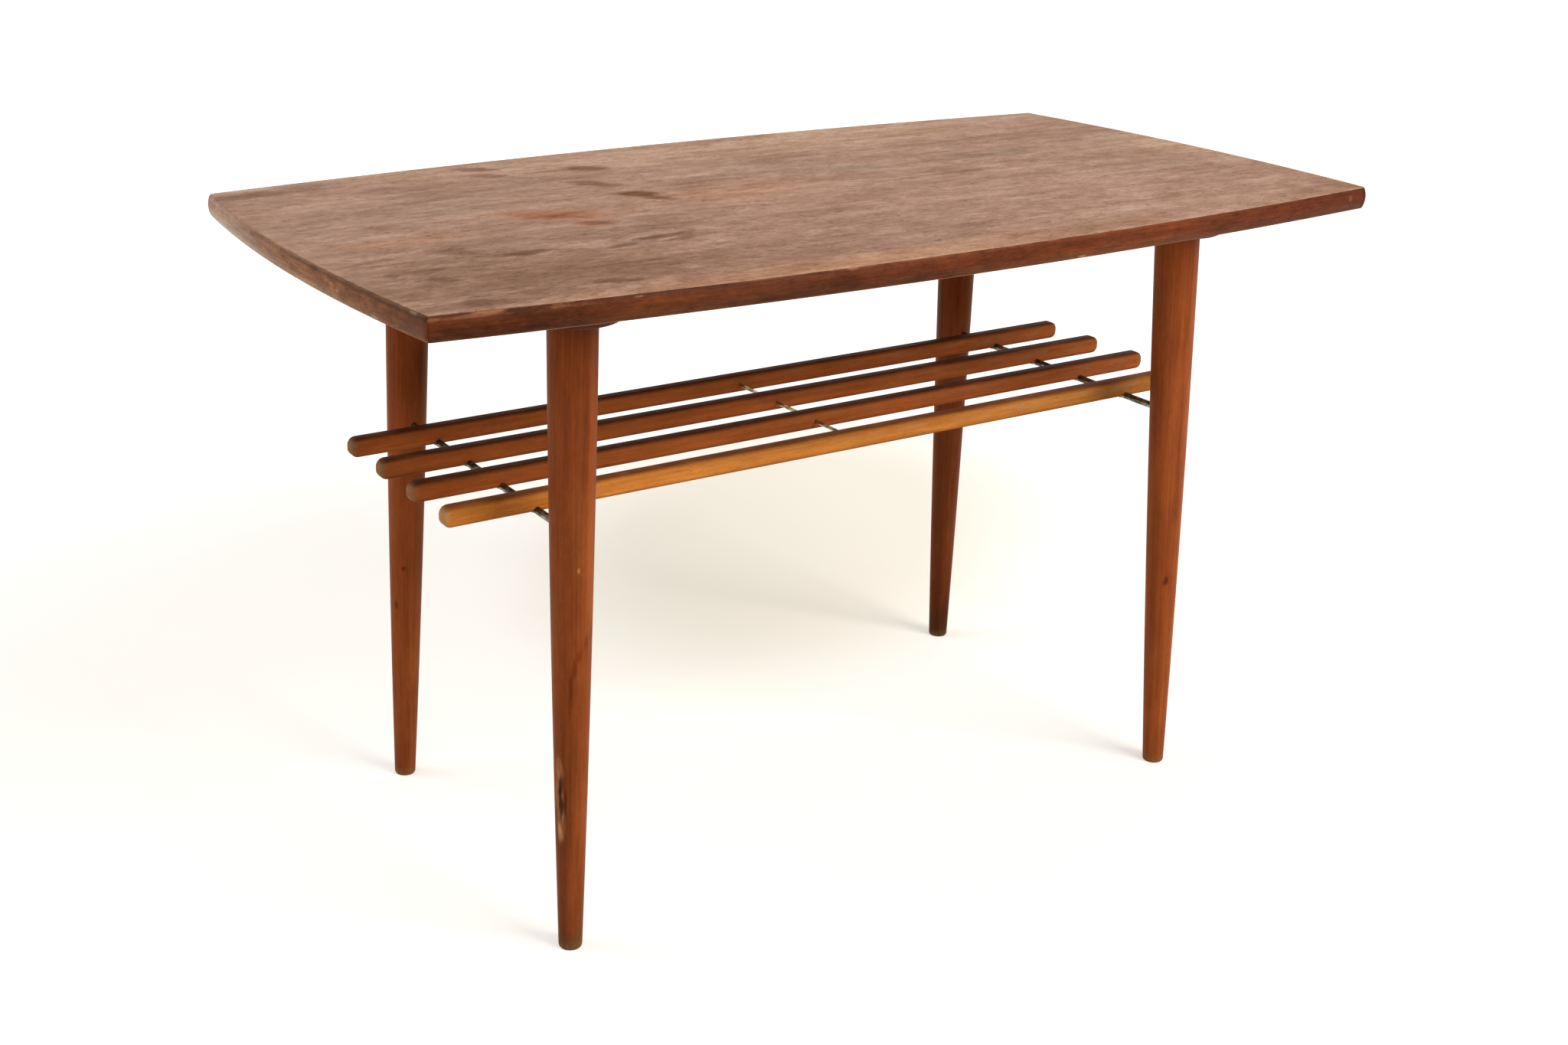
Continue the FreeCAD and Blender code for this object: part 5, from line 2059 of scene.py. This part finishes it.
LEG_SCARS = (
    *marks(Tone.GLOW, (190, -5.0, 480, 17, 0.85, 14.5), soft=0.9, ragged=0.2),
    *marks(Tone.BARE, (319.4, 2.0, 5.0, 3.2, 0.90, 16.2), soft=0.5, ragged=0.0),
    *marks(Tone.BARE, (158, 12.4, 20, 7, 0.90, 4.5), (110, 11.4, 26, 8, 0.90, 4.8),
           (101, 11.4, 16, 6, 0.80, 4.0), soft=0.5, ragged=0.8),
    *marks(Tone.BARE, (136, 12.6, 34, 8, 0.85, 3.0), (128, 10.8, 30, 3, 0.80, 7.2), soft=0.5, ragged=0.9),
    *marks(Tone.BLACK, (134, 12.1, 34, 3.0, 0.95, 4.6), (124, 11.3, 26, 2.8, 0.90, 6.3),
           (144, 11.7, 22, 2.4, 0.85, 5.9), (133, 10.0, 34, 2.2, 0.70, 8.2), soft=0.5, ragged=0.8),
    *marks(Tone.ASHEN, (0, 0.0, 30, 60, 0.75, 0.0), soft=0.7, ragged=0.8),
    *marks(Tone.UMBER, (420, -2.0, 150, 7, 0.35, 18.5), soft=0.8),
)

KNOTS = (
    *marks(Tone.DARK, (187, 6.6, 9, 4.5, 0.90, 12.2), ragged=0.2),
    *marks(Tone.UMBER, (190, 5.0, 34, 9, 0.35, 13.0), soft=0.9, ragged=0.4),
    *marks(Tone.UMBER, (330, 1.0, 260, 8, 0.35, 17.0), soft=0.9, ragged=0.6),
    *marks(Tone.GLOW, (110, 0.0, 320, 60, 0.50, 0.0), soft=0.9, ragged=0.2),
)

# Knots, and painted shade down one side and at the top of the back left leg under the board.
BACK_LEG_MARKS_AND_SHADE = (
    *marks(Tone.DARK, (211, 6.9, 5, 4, 0.80, 12.6), (175, 11.7, 8, 4, 0.70, 7.2), soft=0.5, ragged=0.1),
    *marks(Tone.DEEP, (300, -13.0, 640, 30, 1.00, 10.0), soft=0.8, ragged=0.3),
    *marks(Tone.UMBER, (450, 0.0, 230, 70, 0.30, 0.0), soft=0.9, ragged=0.3),
    *marks(Tone.GLOW, (110, 4.0, 300, 60, 0.50, 0.0), soft=0.9, ragged=0.2),
)

DARK_LEG_MARKS = (
    *marks(Tone.UMBER, (0, 0.0, 130, 60, 0.80, 0.0), soft=0.9, ragged=0.3),
    *marks(Tone.ASHEN, (0, 0.0, 70, 60, 0.90, 0.0), soft=0.9, ragged=0.3),
)

FRONT_SLAT_MARKS = (
    *marks(Tone.GLOW, (-315, 0.0, 270, 80, 0.65), soft=0.95, ragged=0.3),
    *marks(Tone.GREY, (290, 0.0, 440, 80, 1.00), soft=0.95, ragged=0.3),
    *marks(Tone.SOOT, (330, 0.0, 300, 80, 0.30), soft=0.95, ragged=0.3),
)


class Finishes:
    """All finishes of the table."""

    FACE_GRAIN = Figure(Layer(260.0, 17.0, 0.40), Layer(34.0, 6.0, 0.44), Layer(6.0, 1.8, 0.66),
                        Layer(20.0, 11.0, 0.31), pore_limit=0.56, fleck_hue=0.8, cloud_share=0.20)
    LEG_GRAIN = Figure(Layer(500.0, 9.0, 0.55), Layer(120.0, 1.6, 0.45), Layer(5.0, 0.4, 0.4), wander=4.0)
    EDGE_GRAIN = Figure(Layer(300.0, 8.0, 0.55), Layer(60.0, 1.8, 0.5), Layer(6.0, 0.9, 0.5),
                        Layer(16.0, 5.0, 0.40), pore_limit=0.58, cloud_share=0.16, wander=4.0)
    SLAT_GRAIN = Figure(Layer(260.0, 7.0, 0.45), Layer(70.0, 1.4, 0.5), Layer(5.0, 0.4, 0.45),
                        pore_limit=0.58, wander=3.0)

    def leg(self, name: str, strength: float, own_marks: tuple[Mark, ...]) -> WoodFinish:
        """The wood of one leg.

        Args:
            name: name of the material.
            strength: how light it is; on the back legs it is lowered for painted shade.
            own_marks: its marks.

        Returns:
            The finish.
        """
        tones = ((0.350, 0.0845, 0.0205), (0.205, 0.0468, 0.0115), (0.088, 0.021, 0.007),
                 (0.390, 0.111, 0.028))
        light, dark, pore, patina = (tuple(strength * part for part in tone) for tone in tones)
        return WoodFinish(name, light, dark, pore, self.LEG_GRAIN, patina=patina, patina_share=0.45,
                          patina_size=45.0, worn=(0.26, 0.17, 0.075), worn_share=0.8, dirt_and_shade_share=0.8,
                          roughness=(0.36, 0.50), specular=0.04, marks=own_marks)

    def wood(self) -> dict[str, WoodFinish]:
        """Lists the woods.

        Returns:
            The finishes by name.
        """
        return {
            "face": WoodFinish(
                "face_veneer", (0.545, 0.340, 0.258), (0.348, 0.204, 0.140), (0.190, 0.104, 0.068),
                self.FACE_GRAIN, patina=(0.510, 0.322, 0.238), patina_share=0.50, patina_size=50.0,
                worn=(0.600, 0.335, 0.195), worn_share=0.55, roughness=(0.50, 0.68), specular=0.02,
                relief=0.00024, marks=FACE_MARKS),
            "under": WoodFinish(
                "under_veneer", (0.30, 0.150, 0.080), (0.190, 0.088, 0.045), (0.080, 0.036, 0.020),
                patina=(0.24, 0.13, 0.08), roughness=(0.55, 0.75), specular=0.2),
            "lipping": WoodFinish(
                "lipping", (0.192, 0.047, 0.0135), (0.104, 0.0235, 0.0078), (0.045, 0.011, 0.004),
                self.EDGE_GRAIN, patina=(0.155, 0.043, 0.0160), patina_share=0.35, patina_size=45.0,
                worn=(0.42, 0.180, 0.085), worn_share=0.65, roughness=(0.40, 0.56), specular=0.06,
                marks=FRONT_EDGE_MARKS),
            "lipping_end": WoodFinish(
                "lipping_end", (0.380, 0.178, 0.098), (0.250, 0.106, 0.055), (0.100, 0.040, 0.020),
                self.EDGE_GRAIN, patina=(0.360, 0.190, 0.120), patina_share=0.60, patina_size=16.0,
                worn=(0.46, 0.260, 0.165), worn_share=0.6, roughness=(0.45, 0.65), specular=0.08,
                marks=END_EDGE_MARKS),
            "batten": WoodFinish(
                "batten", (0.150, 0.040, 0.016), (0.080, 0.020, 0.009), (0.040, 0.010, 0.005), self.LEG_GRAIN,
                patina=(0.12, 0.035, 0.015), worn=(0.18, 0.06, 0.03), worn_share=0.3, roughness=(0.45, 0.6),
                specular=0.1),
            "leg": self.leg("leg", 1.0, KNOTS),
            "leg_scarred": self.leg("leg_scarred", 0.84, GRAIN_LINE + LEG_SCARS),
            # The back legs are darker copies of the leg wood: painted shade under the board, and on the back
            # right partly a darker wood.
            "leg_back": self.leg("leg_back", 0.90, BACK_LEG_MARKS_AND_SHADE),
            "leg_dark": self.leg("leg_dark", 0.55, DARK_LEG_MARKS),
            # The grime of both slat woods is painted shade on the slats' top faces and lower arrises, under
            # the board.
            "slat": WoodFinish(
                "slat", (0.412, 0.110, 0.0250), (0.252, 0.062, 0.0150), (0.112, 0.028, 0.008),
                self.SLAT_GRAIN, patina=(0.382, 0.110, 0.0270), roughness=(0.38, 0.54), specular=0.02,
                worn=(0.26, 0.175, 0.095), worn_share=0.8, grime_and_shade=(0.045, 0.016, 0.005), dirt_and_shade_share=0.9),
            # The front slat's lighter copy of the slat wood is painted light: it catches light that the board
            # keeps off the slats behind.
            "slat_front": WoodFinish(
                "slat_front", (0.640, 0.228, 0.043), (0.415, 0.134, 0.026), (0.160, 0.046, 0.011),
                self.SLAT_GRAIN, patina=(0.68, 0.275, 0.055), roughness=(0.38, 0.54), specular=0.02,
                worn=(0.44, 0.29, 0.16), worn_share=0.8, grime_and_shade=(0.120, 0.030, 0.009), dirt_and_shade_share=0.8,
                marks=FRONT_SLAT_MARKS),
        }

    def make(self) -> dict[str, bpy.types.Material]:
        """Builds every material.

        Returns:
            The materials by name.
        """
        others = {
            "core": HiddenWoodFinish("core_board", (0.50, 0.34, 0.19), (0.36, 0.22, 0.11), (0.08, 1, 1)),
            "wedge": HiddenWoodFinish("wedge", (0.42, 0.24, 0.12), (0.28, 0.15, 0.07), (1, 1, 0.08)),
            "end_rod": MetalFinish("end_rod", (0.42, 0.41, 0.33), (0.060, 0.060, 0.047), 0.65, (0.28, 0.5)),
            "middle_rod": MetalFinish("middle_rod", (0.62, 0.52, 0.32), (0.22, 0.17, 0.10), 0.45),
            "screw": MetalFinish("screw", (0.42, 0.41, 0.38), (0.13, 0.11, 0.09), 0.5),
        }
        return {name: finish.make() for name, finish in (self.wood() | others).items()}


def main() -> None:
    """Builds the table and its studio, piece by piece."""
    logging.basicConfig(level=logging.INFO, format="%(message)s")
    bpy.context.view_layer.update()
    Studio().make()
    finishes = Finishes().make()
    Board.from_frame().make(finishes)
    Battens().make(finishes["batten"])
    Legs().make(finishes)
    MagazineShelf().make(finishes)
    Fastenings().make(finishes)


if __name__ == "__main__":
    main()
